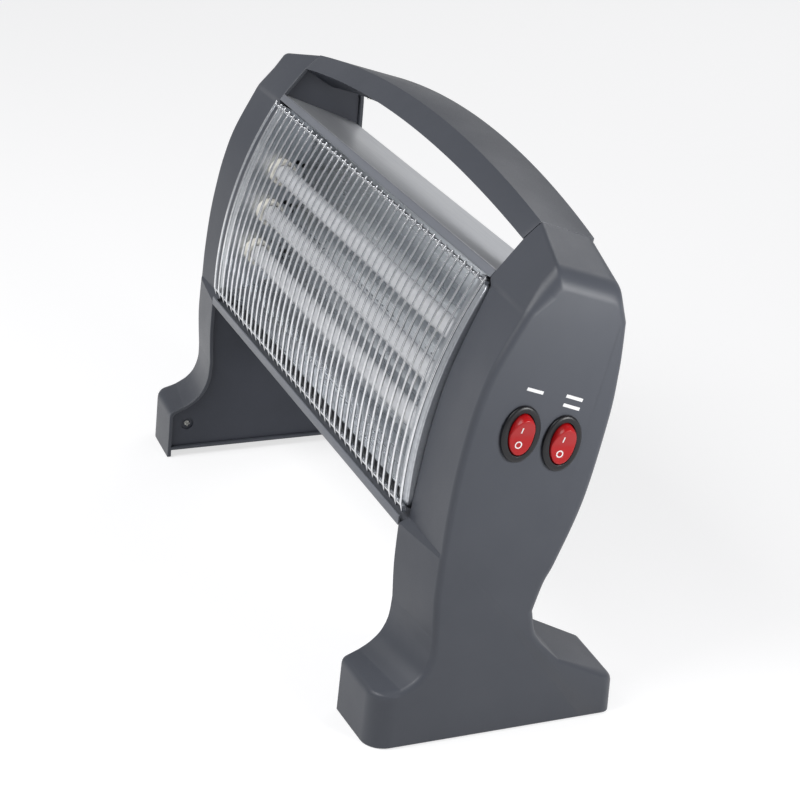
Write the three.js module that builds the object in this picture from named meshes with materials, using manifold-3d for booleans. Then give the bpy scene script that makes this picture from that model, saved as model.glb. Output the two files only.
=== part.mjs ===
// Quartz radiant heater. Two hollow moulded side panels stand on the floor and carry all that
// lies between them: a folded steel housing, three quartz tubes in front of a reflector,
// a bowed wire guard and an arched carrying handle.
// Millimetres, +Z up. The guard faces -Y and the panel with the two switches is at +X.

import * as THREE from "three";
import { mergeVertices } from "three/addons/utils/BufferGeometryUtils.js";
import Module from "manifold-3d";

const wasm = await Module();
wasm.setup();

// Overall sizes
const heaterWidth = 412;
const footLength = 150;
const panelHeight = 280;
const panelThickness = 45;

// Walls, sheets, and the clearance between pieces that touch
const panelWall = 2.5;
const soleWall = 7;
const sheet = 1.2;
const seatGap = 0.3;
const cutOverrun = 1;
const roundSides = 16;
const smallRoundSides = 12;
const wireSides = 6;

// Side panel: how far its outer edges are rounded, and the corners of its outline
const toeRound = 13;
const instepRound = 10;
const shinRound = 12;
const ledgeRound = 8;
const ridgeRound = 2;
const crownRound = 11;
const backRound = 5;
const heelRound = 8;
const soleRound = 0.8;
const toeCorner = 5;
const browCorner = 2;
const rearCorner = 8;
const heelCorner = 6;
const cornerSteps = 4;
const cornerReachShare = 0.45;
const straightTurn = THREE.MathUtils.degToRad(17);
const skinTurnShares = [0, 0.2, 0.4, 0.6, 0.8, 1];
const cavityTurnShares = [0, 0.35, 0.7, 1];

// The sole is raised along its inner edge, so that the foot stands on its outer part
const soleLift = 5;
const soleLiftWidth = 16;

// Inner cover of a side panel, and the screws that hold it
const coverRecess = 2.5;
const coverThickness = 2;
const bossRadius = 4.2;
const screwShankRadius = 1.7;
const screwShankLength = 11;
const screwHeadRadius = 3;
const screwHeadHeight = 1.2;
const screwRecessRadius = 4.4;
const screwRecessDepth = 1.3;
const screwShares = [
  ["toe", 0.093, 0.082],
  ["heel", 0.853, 0.0645],
  ["back", 0.687, 0.536],
];

// Handle: an arch over the ends that the panels give it
const gripRise = 14.3;
const gripBackRise = 18.6;
const gripCreaseShift = 3;
const gripWall = 2.5;
const gripLipDepth = 4;
const gripBackHeight = 8;
const gripBelly = 8;
const gripBossRadius = 4;
const gripBossInset = 60;
const gripStations = 20;

// Rails and sheets of the housing
const topRailFace = 4.8;
const topRailFlange = 5;
const bottomRailFace = 5.6;
const bottomRailFlange = 13;
const bottomRailInset = 0.2;
const bottomRailDrop = 1.6;
const topSheetSlope = THREE.MathUtils.degToRad(22);
const topSheetDrop = 4;
const topSheetSetback = 5.8;
const slotLength = 22;
const slotHeight = 4;
const slotPitch = 32;
const slotRowPitch = 13;
const slotRows = 4;
const backSheetBends = 6;

// Wire guard
const guardBulge = 9.6;
const guardWireRadius = 0.8;
const guardRodRadius = 1.2;
const guardPitch = 8.2;
const guardSideMargin = 1;
const guardRodInset = 1.8;
const guardFootClearance = 2.4;
const guardEndClearance = 0.6;
const guardSteps = 5;

// Quartz tubes in their ceramic caps
const tubeRadius = 6;
const tubeWall = 1.2;
const tubePitch = 28;
const tubeTopShare = [0.437, 0.739];
const coilWall = 0.8;
const capRadius = 8.5;
const capLength = 8;
const capNeckRadius = 5.5;
const capNeckLength = 6;
const capSocketDepth = 6.5;
const capWireRadius = 1.2;

// Reflector and the plates that close its ends
const reflectorSheet = 0.8;
const endPlateInset = 11;
const endPlateSheet = 1;
const endPlateBackMargin = 2;
const reflectorShares = [
  [0.483, 0.877],
  [0.573, 0.85],
  [0.58, 0.79],
  [0.523, 0.68],
  [0.473, 0.53],
  [0.4, 0.465],
  [0.235, 0.443],
];

// Switches: two oval rockers in a row that slopes down to the back
const switchShare = [0.464, 0.6525];
const switchPitch = 26;
const switchRowSlope = THREE.MathUtils.degToRad(17.6);
const switchLean = THREE.MathUtils.degToRad(4);
const bezelWidth = 22.3;
const bezelLength = 31.9;
const bezelHeight = 2.2;
const bezelRound = 1;
const switchBodyInset = 1.9;
const switchBodyDepth = 20;
const rockerWidth = 14.6;
const rockerLength = 23.6;
const rockerDish = 3.2;
const rockerPivotDepth = 2.2;
const rockerFloor = 6;
const rockerPocketDepth = 14;
const rockerEndAngle = THREE.MathUtils.degToRad(25);
const rockerTilt = THREE.MathUtils.degToRad(10);
const ovalSides = 24;

// Tip-over switch: a weight that hangs in an open box
const tipShare = [0.4, 0.3];
const tipWidth = 20;
const tipBreadth = 27;
const tipHeight = 34;
const tipWall = 1.6;
const tipPinRadius = 1.4;
const tipHub = 3.2;
const tipArm = 15;
const tipArmWidth = 3;
const tipBob = 5;
const tipWeightThickness = 9;

// Mains terminals and the bush where the lead comes in
const terminalLength = 22;
const terminalWidth = 16;
const terminalHeight = 11;
const terminalHoleRadius = 1.8;
const terminalShare = 0.73;
const inletRadiusShare = 0.35;
const inletBoreShare = 0.24;
const inletCollarShare = 0.475;
const inletCollarThickness = 2;

// Leads
const leadRadius = 1.1;
const leadSteps = 12;
const leadBow = 9;

// Places that follow from the sizes above
const innerX = heaterWidth / 2 - panelThickness;
const outerX = heaterWidth / 2;
const coverX = innerX + coverRecess;
const coverBackX = coverX + coverThickness;
const cavityX = outerX - panelWall;
const buttX = innerX - seatGap;
const housingX = coverX - seatGap;
const panelMiddleX = (coverBackX + cavityX) / 2;

// The outline of a side panel, clockwise from the front of its sole, in stretches. Shares are of
// the foot's length and the panel's height: first the open inner edge, then the outer face.
const panelStretches = [
  {
    name: "toe",
    innerShares: [[0, 0], [0.005, 0.118]],
    outerShares: [[0.012, 0], [0.017, 0.118]],
    steps: 1, rounds: [toeRound, toeRound], corner: 0, wall: panelWall,
  },
  {
    name: "toeTop",
    innerShares: [[0.005, 0.118], [0.067, 0.132]],
    outerShares: [[0.017, 0.118], [0.119, 0.164]],
    steps: 1, rounds: [instepRound, instepRound], corner: toeCorner, wall: panelWall,
  },
  {
    name: "instep",
    innerShares: [[0.067, 0.132], [0.11, 0.146], [0.15, 0.168], [0.175, 0.2], [0.183, 0.243]],
    outerShares: [[0.119, 0.164], [0.142, 0.176], [0.16, 0.19], [0.173, 0.212], [0.18, 0.243]],
    steps: 7, rounds: [instepRound, shinRound], corner: 0, wall: panelWall,
  },
  {
    name: "shin",
    innerShares: [[0.183, 0.243], [0.177, 0.321], [0.181, 0.404]],
    outerShares: [[0.18, 0.243], [0.178, 0.321], [0.18, 0.404]],
    steps: 4, rounds: [shinRound, ledgeRound], corner: 0, wall: panelWall,
  },
  {
    name: "ledge",
    innerShares: [[0.181, 0.404], [0.22, 0.414]],
    outerShares: [[0.18, 0.404], [0.181, 0.41]],
    steps: 1, rounds: [ledgeRound, ledgeRound], corner: 0, wall: panelWall,
  },
  {
    name: "window",
    innerShares: [[0.22, 0.414], [0.236, 0.48], [0.26, 0.57], [0.287, 0.644], [0.321, 0.713],
      [0.372, 0.787], [0.447, 0.882]],
    outerShares: [[0.181, 0.41], [0.19, 0.46], [0.214, 0.56], [0.255, 0.66], [0.295, 0.73],
      [0.362, 0.812], [0.435, 0.88]],
    steps: 12, rounds: [ledgeRound, ridgeRound], corner: 0, wall: panelWall,
  },
  {
    name: "lintel",
    innerShares: [[0.447, 0.882], [0.44, 0.898]],
    outerShares: [[0.435, 0.88], [0.455, 0.893]],
    steps: 1, rounds: [ridgeRound, ridgeRound], corner: 0, wall: panelWall,
  },
  {
    name: "brow",
    innerShares: [[0.44, 0.898], [0.551, 0.969]],
    outerShares: [[0.455, 0.893], [0.507, 0.927]],
    steps: 4, rounds: [ridgeRound, crownRound], corner: browCorner, wall: panelWall,
  },
  {
    name: "crest",
    innerShares: [[0.551, 0.969], [0.615, 1]],
    outerShares: [[0.507, 0.927], [0.556, 0.965]],
    steps: 1, rounds: [crownRound, crownRound], corner: 0, wall: panelWall,
  },
  {
    name: "top",
    innerShares: [[0.615, 1], [0.832, 0.96]],
    outerShares: [[0.556, 0.965], [0.8, 0.92]],
    steps: 2, rounds: [crownRound, crownRound], corner: 0, wall: panelWall,
  },
  {
    name: "rear",
    innerShares: [[0.832, 0.96], [0.838, 0.885]],
    outerShares: [[0.8, 0.92], [0.836, 0.85]],
    steps: 1, rounds: [backRound, backRound], corner: rearCorner, wall: panelWall,
  },
  {
    name: "back",
    innerShares: [[0.838, 0.885], [0.838, 0.821], [0.836, 0.75], [0.822, 0.661], [0.765, 0.496],
      [0.684, 0.368], [0.645, 0.321], [0.614, 0.262]],
    outerShares: [[0.836, 0.85], [0.838, 0.8], [0.836, 0.75], [0.822, 0.661], [0.765, 0.496],
      [0.684, 0.368], [0.645, 0.321], [0.614, 0.262]],
    steps: 14, rounds: [backRound, backRound], corner: 0, wall: panelWall,
  },
  {
    name: "arch",
    innerShares: [[0.614, 0.262], [0.632, 0.215], [0.66, 0.188], [0.704, 0.162], [0.733, 0.155]],
    outerShares: [[0.614, 0.262], [0.632, 0.215], [0.66, 0.188], [0.704, 0.162], [0.74, 0.143]],
    steps: 8, rounds: [backRound, ridgeRound], corner: 0, wall: panelWall,
  },
  {
    name: "heel",
    innerShares: [[0.733, 0.155], [0.995, 0.082]],
    outerShares: [[0.74, 0.143], [0.993, 0.079]],
    steps: 1, rounds: [ridgeRound, ridgeRound], corner: 0, wall: panelWall,
  },
  {
    name: "heelBack",
    innerShares: [[0.995, 0.082], [1, 0]],
    outerShares: [[0.993, 0.079], [1, 0]],
    steps: 1, rounds: [heelRound, heelRound], corner: heelCorner, wall: panelWall,
  },
  {
    name: "sole",
    innerShares: [[1, 0], [0, 0]],
    outerShares: [[1, 0], [0.012, 0]],
    steps: 1, rounds: [soleRound, soleRound], corner: 0, wall: soleWall,
  },
];

// Finishes
const panelPaint = finish("#646870", 0.5);
const coverPlastic = finish("#3d4047", 0.6);
const railPaint = finish("#6b6f78", 0.5);
const bareSteel = finish("#b8bbbe", 0.3, 1);
const brightAluminium = finish("#c9cbce", 0.25, 1);
const guardChrome = finish("#c4c6c8", 0.2, 1);
const quartz = finish("#e6e2d8", 0.3);
const ceramic = finish("#ded6c4", 0.6);
const heatingWire = finish("#6f6a64", 0.5, 1);
const switchPlastic = finish("#333438", 0.5);
const rockerRed = finish("#bb3e3c", 0.35);
const brass = finish("#b79b55", 0.35, 1);
const leadCover = finish("#d8d4c8", 0.7);

function finish(color, roughness, metalness = 0) {
  return new THREE.MeshStandardMaterial({ color, roughness, metalness, flatShading: true });
}

// A point of a panel's outline plane, from shares of the foot's length and the panel's height.
function place([lengthShare, heightShare]) {
  return new THREE.Vector2(lengthShare * footLength, heightShare * panelHeight);
}

// Points along a stretch: straight between two, and a smooth curve through more.
function stretchPoints(shares, steps) {
  const given = shares.map(place);
  const curve = given.length === 2 ? new THREE.LineCurve(...given) : new THREE.SplineCurve(given);
  return curve.getPoints(steps);
}

function stretchNamed(name) {
  return panelStretches.find((stretch) => stretch.name === name);
}

// The first point of a stretch on the panel's open inner edge.
function innerStart(name) {
  return place(stretchNamed(name).innerShares[0]);
}

// The panel's outline as vertices, each with the rounding and wall of the edge that follows it.
function panelOutline() {
  return panelStretches.flatMap((stretch) => {
    const inner = stretchPoints(stretch.innerShares, stretch.steps);
    const outer = stretchPoints(stretch.outerShares, stretch.steps);
    return Array.from({ length: stretch.steps }, (_, i) => ({
      inner: inner[i],
      outer: outer[i],
      round: THREE.MathUtils.lerp(...stretch.rounds, i / stretch.steps),
      wall: stretch.wall,
      corner: i === 0 ? stretch.corner : 0,
    }));
  });
}

// Moves each edge of a closed clockwise outline inwards by its own distance.
function insetOutline(points, distances) {
  const count = points.length;
  const normals = points.map((point, i) => {
    const along = points[(i + 1) % count].clone().sub(point).normalize();
    return new THREE.Vector2(along.y, -along.x);
  });
  return points.map((point, i) => {
    const before = (i + count - 1) % count;
    const a = normals[before];
    const b = normals[i];
    const turn = a.cross(b);
    if (Math.abs(turn) < Math.sin(straightTurn)) {
      const mean = (distances[before] + distances[i]) / 2;
      return point.clone().addScaledVector(a.clone().add(b).normalize(), mean);
    }
    const shift = new THREE.Vector2(
      (distances[before] * b.y - distances[i] * a.y) / turn,
      (distances[i] * a.x - distances[before] * b.x) / turn,
    );
    return point.clone().add(shift);
  });
}

// Replaces a corner by a rounded one, of as many points in every ring of the panel.
function cornerPoints(before, corner, after, radius) {
  const toBefore = before.clone().sub(corner);
  const toAfter = after.clone().sub(corner);
  const halfAngle = Math.abs(toBefore.angleTo(toAfter)) / 2;
  const reach = Math.min(
    radius / Math.tan(halfAngle),
    cornerReachShare * toBefore.length(),
    cornerReachShare * toAfter.length(),
  );
  const curve = new THREE.QuadraticBezierCurve(
    corner.clone().addScaledVector(toBefore.normalize(), reach),
    corner,
    corner.clone().addScaledVector(toAfter.normalize(), reach),
  );
  return curve.getPoints(cornerSteps);
}

// One ring round the panel: where each vertex lies across its thickness, and how far each edge
// stands in from the outline there.
function panelRing(outline, xOf, insetOf) {
  const count = outline.length;
  const xs = outline.map((vertex, i) => {
    const before = outline[(i + count - 1) % count];
    const widest = Math.max(vertex.round, before.round);
    return xOf(widest);
  });
  const base = outline.map((vertex, i) =>
    vertex.inner.clone().lerp(vertex.outer, (xs[i] - innerX) / panelThickness),
  );
  const inset = insetOutline(base, outline.map(insetOf));
  return inset.flatMap((point, i) => {
    const corner = outline[i].corner;
    const around = corner
      ? cornerPoints(inset[(i + count - 1) % count], point, inset[(i + 1) % count], corner)
      : [point];
    return around.map((at) => new THREE.Vector3(xs[i], at.x, at.y));
  });
}

// A closed surface through rings of as many points each, capped at both ends.
function loft(rings) {
  const count = rings[0].length;
  const faces = [];
  for (let ring = 0; ring + 1 < rings.length; ring++)
    for (let i = 0; i < count; i++) {
      const a = ring * count + i;
      const b = ring * count + ((i + 1) % count);
      faces.push([a, b, b + count], [a, b + count, a + count]);
    }
  const flat = (ring) => ring.map((point) => new THREE.Vector2(point.y, point.z));
  const first = flat(rings[0]);
  const last = flat(rings[rings.length - 1]);
  const lastStart = (rings.length - 1) * count;
  for (const face of fillOutline(first)) faces.push([face[2], face[1], face[0]]);
  for (const face of fillOutline(last)) faces.push(face.map((index) => index + lastStart));
  return facingOut(rings.flat(), faces);
}

// Triangles that fill an outline, turning the same way as the outline itself. The filling skips
// points along straight runs, so a triangle on such a run is split at each of them.
function fillOutline(outline) {
  const count = outline.length;
  const filling = THREE.ShapeUtils.triangulateShape(outline, []);
  const filledArea = filling
    .map((face) => THREE.ShapeUtils.area(face.map((index) => outline[index])))
    .reduce((sum, area) => sum + area);
  const aligned = filledArea * THREE.ShapeUtils.area(outline) > 0;
  const waiting = filling.map(([a, b, c]) => (aligned ? [a, b, c] : [a, c, b]));
  const edgeName = (from, to) => from + " " + to;
  const edges = new Set(waiting.flatMap(([a, b, c]) => [edgeName(a, b), edgeName(b, c), edgeName(c, a)]));
  const faces = [];
  while (waiting.length) {
    const face = waiting.pop();
    const first = [0, 1, 2].find((k) => {
      const from = face[k];
      const to = face[(k + 1) % 3];
      return !edges.has(edgeName(to, from)) && (from + 1) % count !== to;
    });
    if (first === undefined) {
      faces.push(face);
      continue;
    }
    const [a, b, c] = [0, 1, 2].map((k) => face[(first + k) % 3]);
    const skipped = (a + 1) % count;
    edges.add(edgeName(skipped, c)).add(edgeName(c, skipped));
    waiting.push([a, skipped, c], [skipped, b, c]);
  }
  return faces;
}

// A geometry from points and triangles, turned over if its faces point inwards.
function facingOut(points, faces) {
  let volume = 0;
  for (const [a, b, c] of faces) volume += points[a].dot(points[b].clone().cross(points[c]));
  const turned = volume < 0 ? faces.map(([a, b, c]) => [a, c, b]) : faces;
  const geometry = new THREE.BufferGeometry().setFromPoints(points);
  geometry.setIndex(turned.flat());
  return geometry;
}

// A geometry as a solid that can be joined and cut, and back again.
function solidOf(geometry) {
  const bare = new THREE.BufferGeometry();
  bare.setAttribute("position", geometry.getAttribute("position"));
  if (geometry.index) bare.setIndex(geometry.index);
  const merged = mergeVertices(bare);
  return new wasm.Manifold(new wasm.Mesh({
    numProp: 3,
    vertProperties: new Float32Array(merged.getAttribute("position").array),
    triVerts: new Uint32Array(merged.index.array),
  }));
}

function geometryOf(solid) {
  const { numProp, vertProperties, triVerts } = solid.getMesh();
  const points = [];
  for (let i = 0; i < vertProperties.length; i += numProp)
    points.push(...vertProperties.slice(i, i + numProp));
  const geometry = new THREE.BufferGeometry();
  geometry.setAttribute("position", new THREE.Float32BufferAttribute(points, numProp));
  geometry.setIndex(new THREE.BufferAttribute(triVerts, 1));
  return geometry;
}

function join(...geometries) {
  return geometryOf(geometries.map(solidOf).reduce((whole, next) => whole.add(next)));
}

function cut(geometry, ...tools) {
  return geometryOf(tools.map(solidOf).reduce((whole, tool) => whole.subtract(tool), solidOf(geometry)));
}

// An outline in the plane of a side panel, extruded across the heater.
function extrudeAcross(points, fromX, toX) {
  const geometry = new THREE.ExtrudeGeometry(new THREE.Shape(points), {
    depth: toX - fromX,
    bevelEnabled: false,
  });
  const across = new THREE.Matrix4().makeBasis(
    new THREE.Vector3(0, 1, 0),
    new THREE.Vector3(0, 0, 1),
    new THREE.Vector3(1, 0, 0),
  );
  return geometry.applyMatrix4(across).translate(fromX, 0, 0);
}

// A round bar across the heater, about a place in the plane of a side panel.
function barAcross(radius, fromX, toX, at, sides = roundSides) {
  return new THREE.CylinderGeometry(radius, radius, toX - fromX, sides)
    .rotateZ(-Math.PI / 2)
    .translate((fromX + toX) / 2, at.x, at.y);
}

// A turned piece on an axis across the heater: its profile is pairs of radius and X.
function turnedAcross(profile, at, sides = roundSides) {
  const points = profile.map(([radius, x]) => new THREE.Vector2(radius, x));
  return new THREE.LatheGeometry(points, sides).rotateZ(-Math.PI / 2).translate(0, at.x, at.y);
}

// The profile of a folded sheet: a line of folds, given its thickness to the right of its run.
function foldedProfile(line, thickness) {
  const normals = line.slice(1).map((point, i) => {
    const along = point.clone().sub(line[i]).normalize();
    return new THREE.Vector2(along.y, -along.x);
  });
  const far = line.map((point, i) => {
    const a = normals[Math.max(i - 1, 0)];
    const b = normals[Math.min(i, normals.length - 1)];
    const middle = a.clone().add(b).normalize();
    return point.clone().addScaledVector(middle, thickness / middle.dot(a));
  });
  return [...line, ...far.reverse()];
}

// The circle arc between two places that bulges to the front by a given height.
function frontArc(from, to, bulge) {
  const chord = to.clone().sub(from);
  const half = chord.length() / 2;
  const radius = (half * half + bulge * bulge) / (2 * bulge);
  const backwards = new THREE.Vector2(chord.y, -chord.x).normalize();
  const centre = from.clone().add(to).divideScalar(2).addScaledVector(backwards, radius - bulge);
  const angleOf = (point) => Math.atan2(point.y - centre.y, centre.x - point.x);
  return { centre, radius, start: angleOf(from), end: angleOf(to) };
}

function arcPoints(arc, radius, steps, start = arc.start, end = arc.end) {
  return Array.from({ length: steps + 1 }, (_, i) => {
    const angle = THREE.MathUtils.lerp(start, end, i / steps);
    return new THREE.Vector2(
      arc.centre.x - radius * Math.cos(angle),
      arc.centre.y + radius * Math.sin(angle),
    );
  });
}

function named(name, geometry, material) {
  const mesh = new THREE.Mesh(geometry, material);
  mesh.name = name;
  return mesh;
}

const outline = panelOutline();

// Where a switch stands in its row, on the outer face of the panel.
function switchPlace(index) {
  const alongRow = new THREE.Vector2(Math.cos(switchRowSlope), -Math.sin(switchRowSlope));
  const at = place(switchShare).addScaledVector(alongRow, index * switchPitch);
  return new THREE.Vector3(outerX, at.x, at.y);
}

// A switch's frame: +X outwards, +Y across the rocker and +Z along it.
function switchFrame(index) {
  return new THREE.Matrix4().makeRotationX(-switchLean).setPosition(switchPlace(index));
}

function ovalRing(x, width, length) {
  return Array.from({ length: ovalSides }, (_, i) => {
    const angle = (2 * Math.PI * i) / ovalSides;
    return new THREE.Vector3(x, (width / 2) * Math.cos(angle), (length / 2) * Math.sin(angle));
  });
}

// An upright oval block between two depths.
function ovalBlock(width, length, fromX, toX) {
  return loft([ovalRing(fromX, width, length), ovalRing(toX, width, length)]);
}

// Hollow moulded panel: outer skin with rounded edges, a cavity open to the inside,
// and a post behind each cover screw.
function sideShell(cuts) {
  const quarterTurns = (shares) => shares.map((share) => share * Math.PI / 2);
  const skin = [
    panelRing(outline, () => innerX, () => 0),
    ...quarterTurns(skinTurnShares).map((turn) => panelRing(
      outline,
      (round) => outerX - round * (1 - Math.sin(turn)),
      (vertex) => vertex.round * (1 - Math.cos(turn)),
    )),
  ];
  const cavityRound = (round) => Math.max(round - panelWall, soleRound);
  const cavity = [
    panelRing(outline, () => innerX - cutOverrun, (vertex) => vertex.wall),
    panelRing(outline, () => coverBackX, (vertex) => vertex.wall),
    ...quarterTurns(cavityTurnShares).map((turn) => panelRing(
      outline,
      (round) => cavityX - cavityRound(round) * (1 - Math.sin(turn)),
      (vertex) => vertex.wall + cavityRound(vertex.round) * (1 - Math.cos(turn)),
    )),
  ];
  const screws = screwShares.map(([, ...share]) => place(share));
  const posts = screws.map((at) =>
    barAcross(bossRadius, coverBackX + seatGap, cavityX + panelWall / 2, at, smallRoundSides));
  const pilotEndX = coverX + screwShankLength + cutOverrun;
  const pilots = screws.map((at) =>
    barAcross(screwShankRadius + seatGap, innerX, pilotEndX, at, smallRoundSides));
  return cut(join(cut(loft(skin), loft(cavity)), ...posts), soleRelief(), ...pilots, ...cuts);
}

// What is cut from the sole along its inner edge, between the front and the back wall.
function soleRelief() {
  const width = soleLiftWidth + cutOverrun;
  return new THREE.BoxGeometry(width, footLength - 2 * panelWall, 2 * soleLift)
    .translate(innerX - cutOverrun + width / 2, footLength / 2, 0);
}

// Cuts in the switch side: the two switch openings and the hole for the lead's bush.
function switchSideCuts() {
  const openings = [0, 1].map((index) =>
    ovalBlock(
      bezelWidth - 2 * (switchBodyInset - seatGap),
      bezelLength - 2 * (switchBodyInset - seatGap),
      -2 * panelWall,
      2 * panelWall,
    ).applyMatrix4(switchFrame(index)));
  const inletHole = new THREE.CylinderGeometry(
    heelRoom(inletRadiusShare) + seatGap,
    heelRoom(inletRadiusShare) + seatGap,
    2 * (soleWall + cutOverrun),
    roundSides,
  ).translate(panelMiddleX, footLength, inletHeight());
  return [...openings, inletHole];
}

// A share of the height inside the heel's end, which the lead's bush has to fit.
function heelRoom(share) {
  return share * (innerStart("heelBack").y - soleWall - panelWall);
}

function inletHeight() {
  return soleWall + heelRoom(inletCollarShare) + 2 * seatGap;
}

// Flat plate that closes the panel, set back inside its rim.
function innerCover(cuts) {
  const edge = (vertex) => vertex.wall + seatGap;
  const plate = loft([
    panelRing(outline, () => coverX, edge),
    panelRing(outline, () => coverBackX, edge),
  ]);
  const screws = screwShares.map(([, ...share]) => place(share));
  const holes = screws.map((at) =>
    barAcross(screwShankRadius + seatGap, innerX, outerX, at, smallRoundSides));
  const recesses = screws.map((at) =>
    barAcross(screwRecessRadius, innerX, coverX + screwRecessDepth, at));
  return cut(plate, ...holes, ...recesses, ...cuts);
}

function coverScrew(share) {
  const headX = coverX + screwRecessDepth - seatGap;
  return turnedAcross([
    [0, headX - screwHeadHeight],
    [screwHeadRadius, headX - screwHeadHeight],
    [screwHeadRadius, headX],
    [screwShankRadius, headX],
    [screwShankRadius, coverX + screwShankLength],
    [0, coverX + screwShankLength],
  ], place(share), smallRoundSides);
}

function sidePanel(side, shellCuts, coverCuts) {
  const panel = new THREE.Group();
  panel.add(named(side + "_side_shell", sideShell(shellCuts), panelPaint));
  panel.add(named(side + "_inner_cover", innerCover(coverCuts), coverPlastic));
  for (const [spot, ...share] of screwShares)
    panel.add(named(side + "_cover_screw_" + spot, coverScrew(share), bareSteel));
  return panel;
}

// Section of the handle where it crosses X: its outer line from the front lip round to the back lip,
// and the line of the belly that closes it from below.
function gripSection(x) {
  const arch = 1 - (x / innerX) ** 2;
  const lifted = (point, rise, shift) =>
    new THREE.Vector2(point.x + shift * arch, point.y + rise * arch);
  const edge = lifted(innerStart("crest"), gripRise, 0);
  const crease = lifted(innerStart("top"), gripRise, gripCreaseShift);
  const rear = lifted(innerStart("rear"), gripBackRise, gripCreaseShift);
  const heel = rear.clone().add(new THREE.Vector2(-gripWall / 2, -gripBackHeight));
  const belly = edge.clone().add(heel).divideScalar(2).sub(new THREE.Vector2(0, gripBelly));
  const towards = (from, to, distance) =>
    from.clone().addScaledVector(to.clone().sub(from).normalize(), distance);
  const frontLip = towards(edge, belly, gripLipDepth);
  const backLip = towards(heel, belly, gripLipDepth);
  return {
    shell: foldedProfile([frontLip, edge, crease, rear, heel, backLip], gripWall),
    belly: foldedProfile([
      towards(backLip, belly, seatGap),
      belly,
      towards(frontLip, belly, seatGap),
    ], gripWall),
    middle: belly,
    roof: crease.clone().add(rear).divideScalar(2),
  };
}

function gripLoft(part) {
  const rings = Array.from({ length: gripStations + 1 }, (_, i) => {
    const x = THREE.MathUtils.lerp(-buttX, buttX, i / gripStations);
    return gripSection(x)[part].map((point) => new THREE.Vector3(x, point.x, point.y));
  });
  return loft(rings);
}

// Upright bar in the handle, about the screw that holds its belly.
function gripBar(side, radius, fromZ, toZ) {
  const x = side * (innerX - gripBossInset);
  return new THREE.CylinderGeometry(radius, radius, toZ - fromZ, smallRoundSides)
    .rotateX(Math.PI / 2)
    .translate(x, gripSection(x).middle.x, (fromZ + toZ) / 2);
}

function gripHeights() {
  const section = gripSection(innerX - gripBossInset);
  return { bellyZ: section.middle.y, roofZ: section.roof.y - gripWall };
}

function handle() {
  const { bellyZ, roofZ } = gripHeights();
  const bossFoot = bellyZ + 2 * (gripWall + seatGap);
  const screwTop = roofZ - gripWall;
  const sides = [-1, 1];
  const bosses = sides.map((side) => gripBar(side, gripBossRadius, bossFoot, roofZ + gripWall / 2));
  const pilots = sides.map((side) =>
    gripBar(side, screwShankRadius + seatGap, bossFoot - cutOverrun, screwTop + seatGap));
  const holes = sides.map((side) =>
    gripBar(side, screwShankRadius + seatGap, bellyZ - cutOverrun, bossFoot + cutOverrun));
  const headTop = bellyZ + screwHeadHeight;
  const headSinks = sides.map((side) =>
    gripBar(side, screwHeadRadius + seatGap, bellyZ - cutOverrun, headTop + seatGap));
  const group = new THREE.Group();
  group.add(named("handle_grip", cut(join(gripLoft("shell"), ...bosses), ...pilots), panelPaint));
  group.add(named("handle_belly", cut(gripLoft("belly"), ...holes, ...headSinks), coverPlastic));
  for (const side of sides) {
    const shank = gripBar(side, screwShankRadius, bellyZ, screwTop);
    const head = gripBar(side, screwHeadRadius, bellyZ, headTop);
    const name = "handle_screw_" + (side < 0 ? "left" : "right");
    group.add(named(name, join(shank, head), bareSteel));
  }
  return group;
}

// Places along the housing's front that the rails, the guard and the end plates share
function bottomRailCorner() {
  return innerStart("ledge").sub(new THREE.Vector2(bottomRailInset, bottomRailDrop));
}

function topRailCorner() {
  return innerStart("brow");
}

function bottomRailTop() {
  return bottomRailCorner().y + bottomRailFace;
}

// Painted strip under the guard: the front face and a flange that runs back.
function bottomRail() {
  const corner = bottomRailCorner();
  const line = [
    new THREE.Vector2(corner.x + bottomRailFlange, corner.y),
    new THREE.Vector2(corner.x, corner.y),
    new THREE.Vector2(corner.x, bottomRailTop()),
  ];
  return extrudeAcross(foldedProfile(line, sheet), -buttX, buttX);
}

// Painted strip over the guard: a slanted face and a flange behind the wires' ends.
function topRail() {
  const corner = topRailCorner();
  const rise = innerStart("crest").sub(corner).normalize();
  const line = [
    corner.clone().add(new THREE.Vector2(topRailFlange, -topRailFlange / 2)),
    corner,
    corner.clone().addScaledVector(rise, topRailFace),
  ];
  return extrudeAcross(foldedProfile(line, sheet), -buttX, buttX);
}

// The housing's back follows the panel's back edge, inside its rim.
function backLineY(z) {
  const back = stretchNamed("back");
  const edge = stretchPoints(back.innerShares, back.steps);
  const next = edge.findIndex((point) => point.y < z);
  const above = edge[next - 1];
  const below = edge[next];
  const share = (above.y - z) / (above.y - below.y);
  return THREE.MathUtils.lerp(above.x, below.x, share) - panelWall - 2 * seatGap - sheet;
}

function topSheetFront() {
  return topRailCorner().add(new THREE.Vector2(topSheetSetback, topSheetDrop / 2));
}

function topSheetBack() {
  const front = topSheetFront();
  const reach = footLength * stretchNamed("top").innerShares[1][0] - panelWall - sheet - seatGap - front.x;
  return new THREE.Vector2(front.x + reach, front.y - reach * Math.tan(topSheetSlope));
}

// Bright sheet that slopes back below the handle, with a fold along its back edge.
function topSheet() {
  const back = topSheetBack();
  const line = [topSheetFront(), back, back.clone().sub(new THREE.Vector2(0, topSheetDrop))];
  return extrudeAcross(foldedProfile(line, sheet), -housingX, housingX);
}

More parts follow.
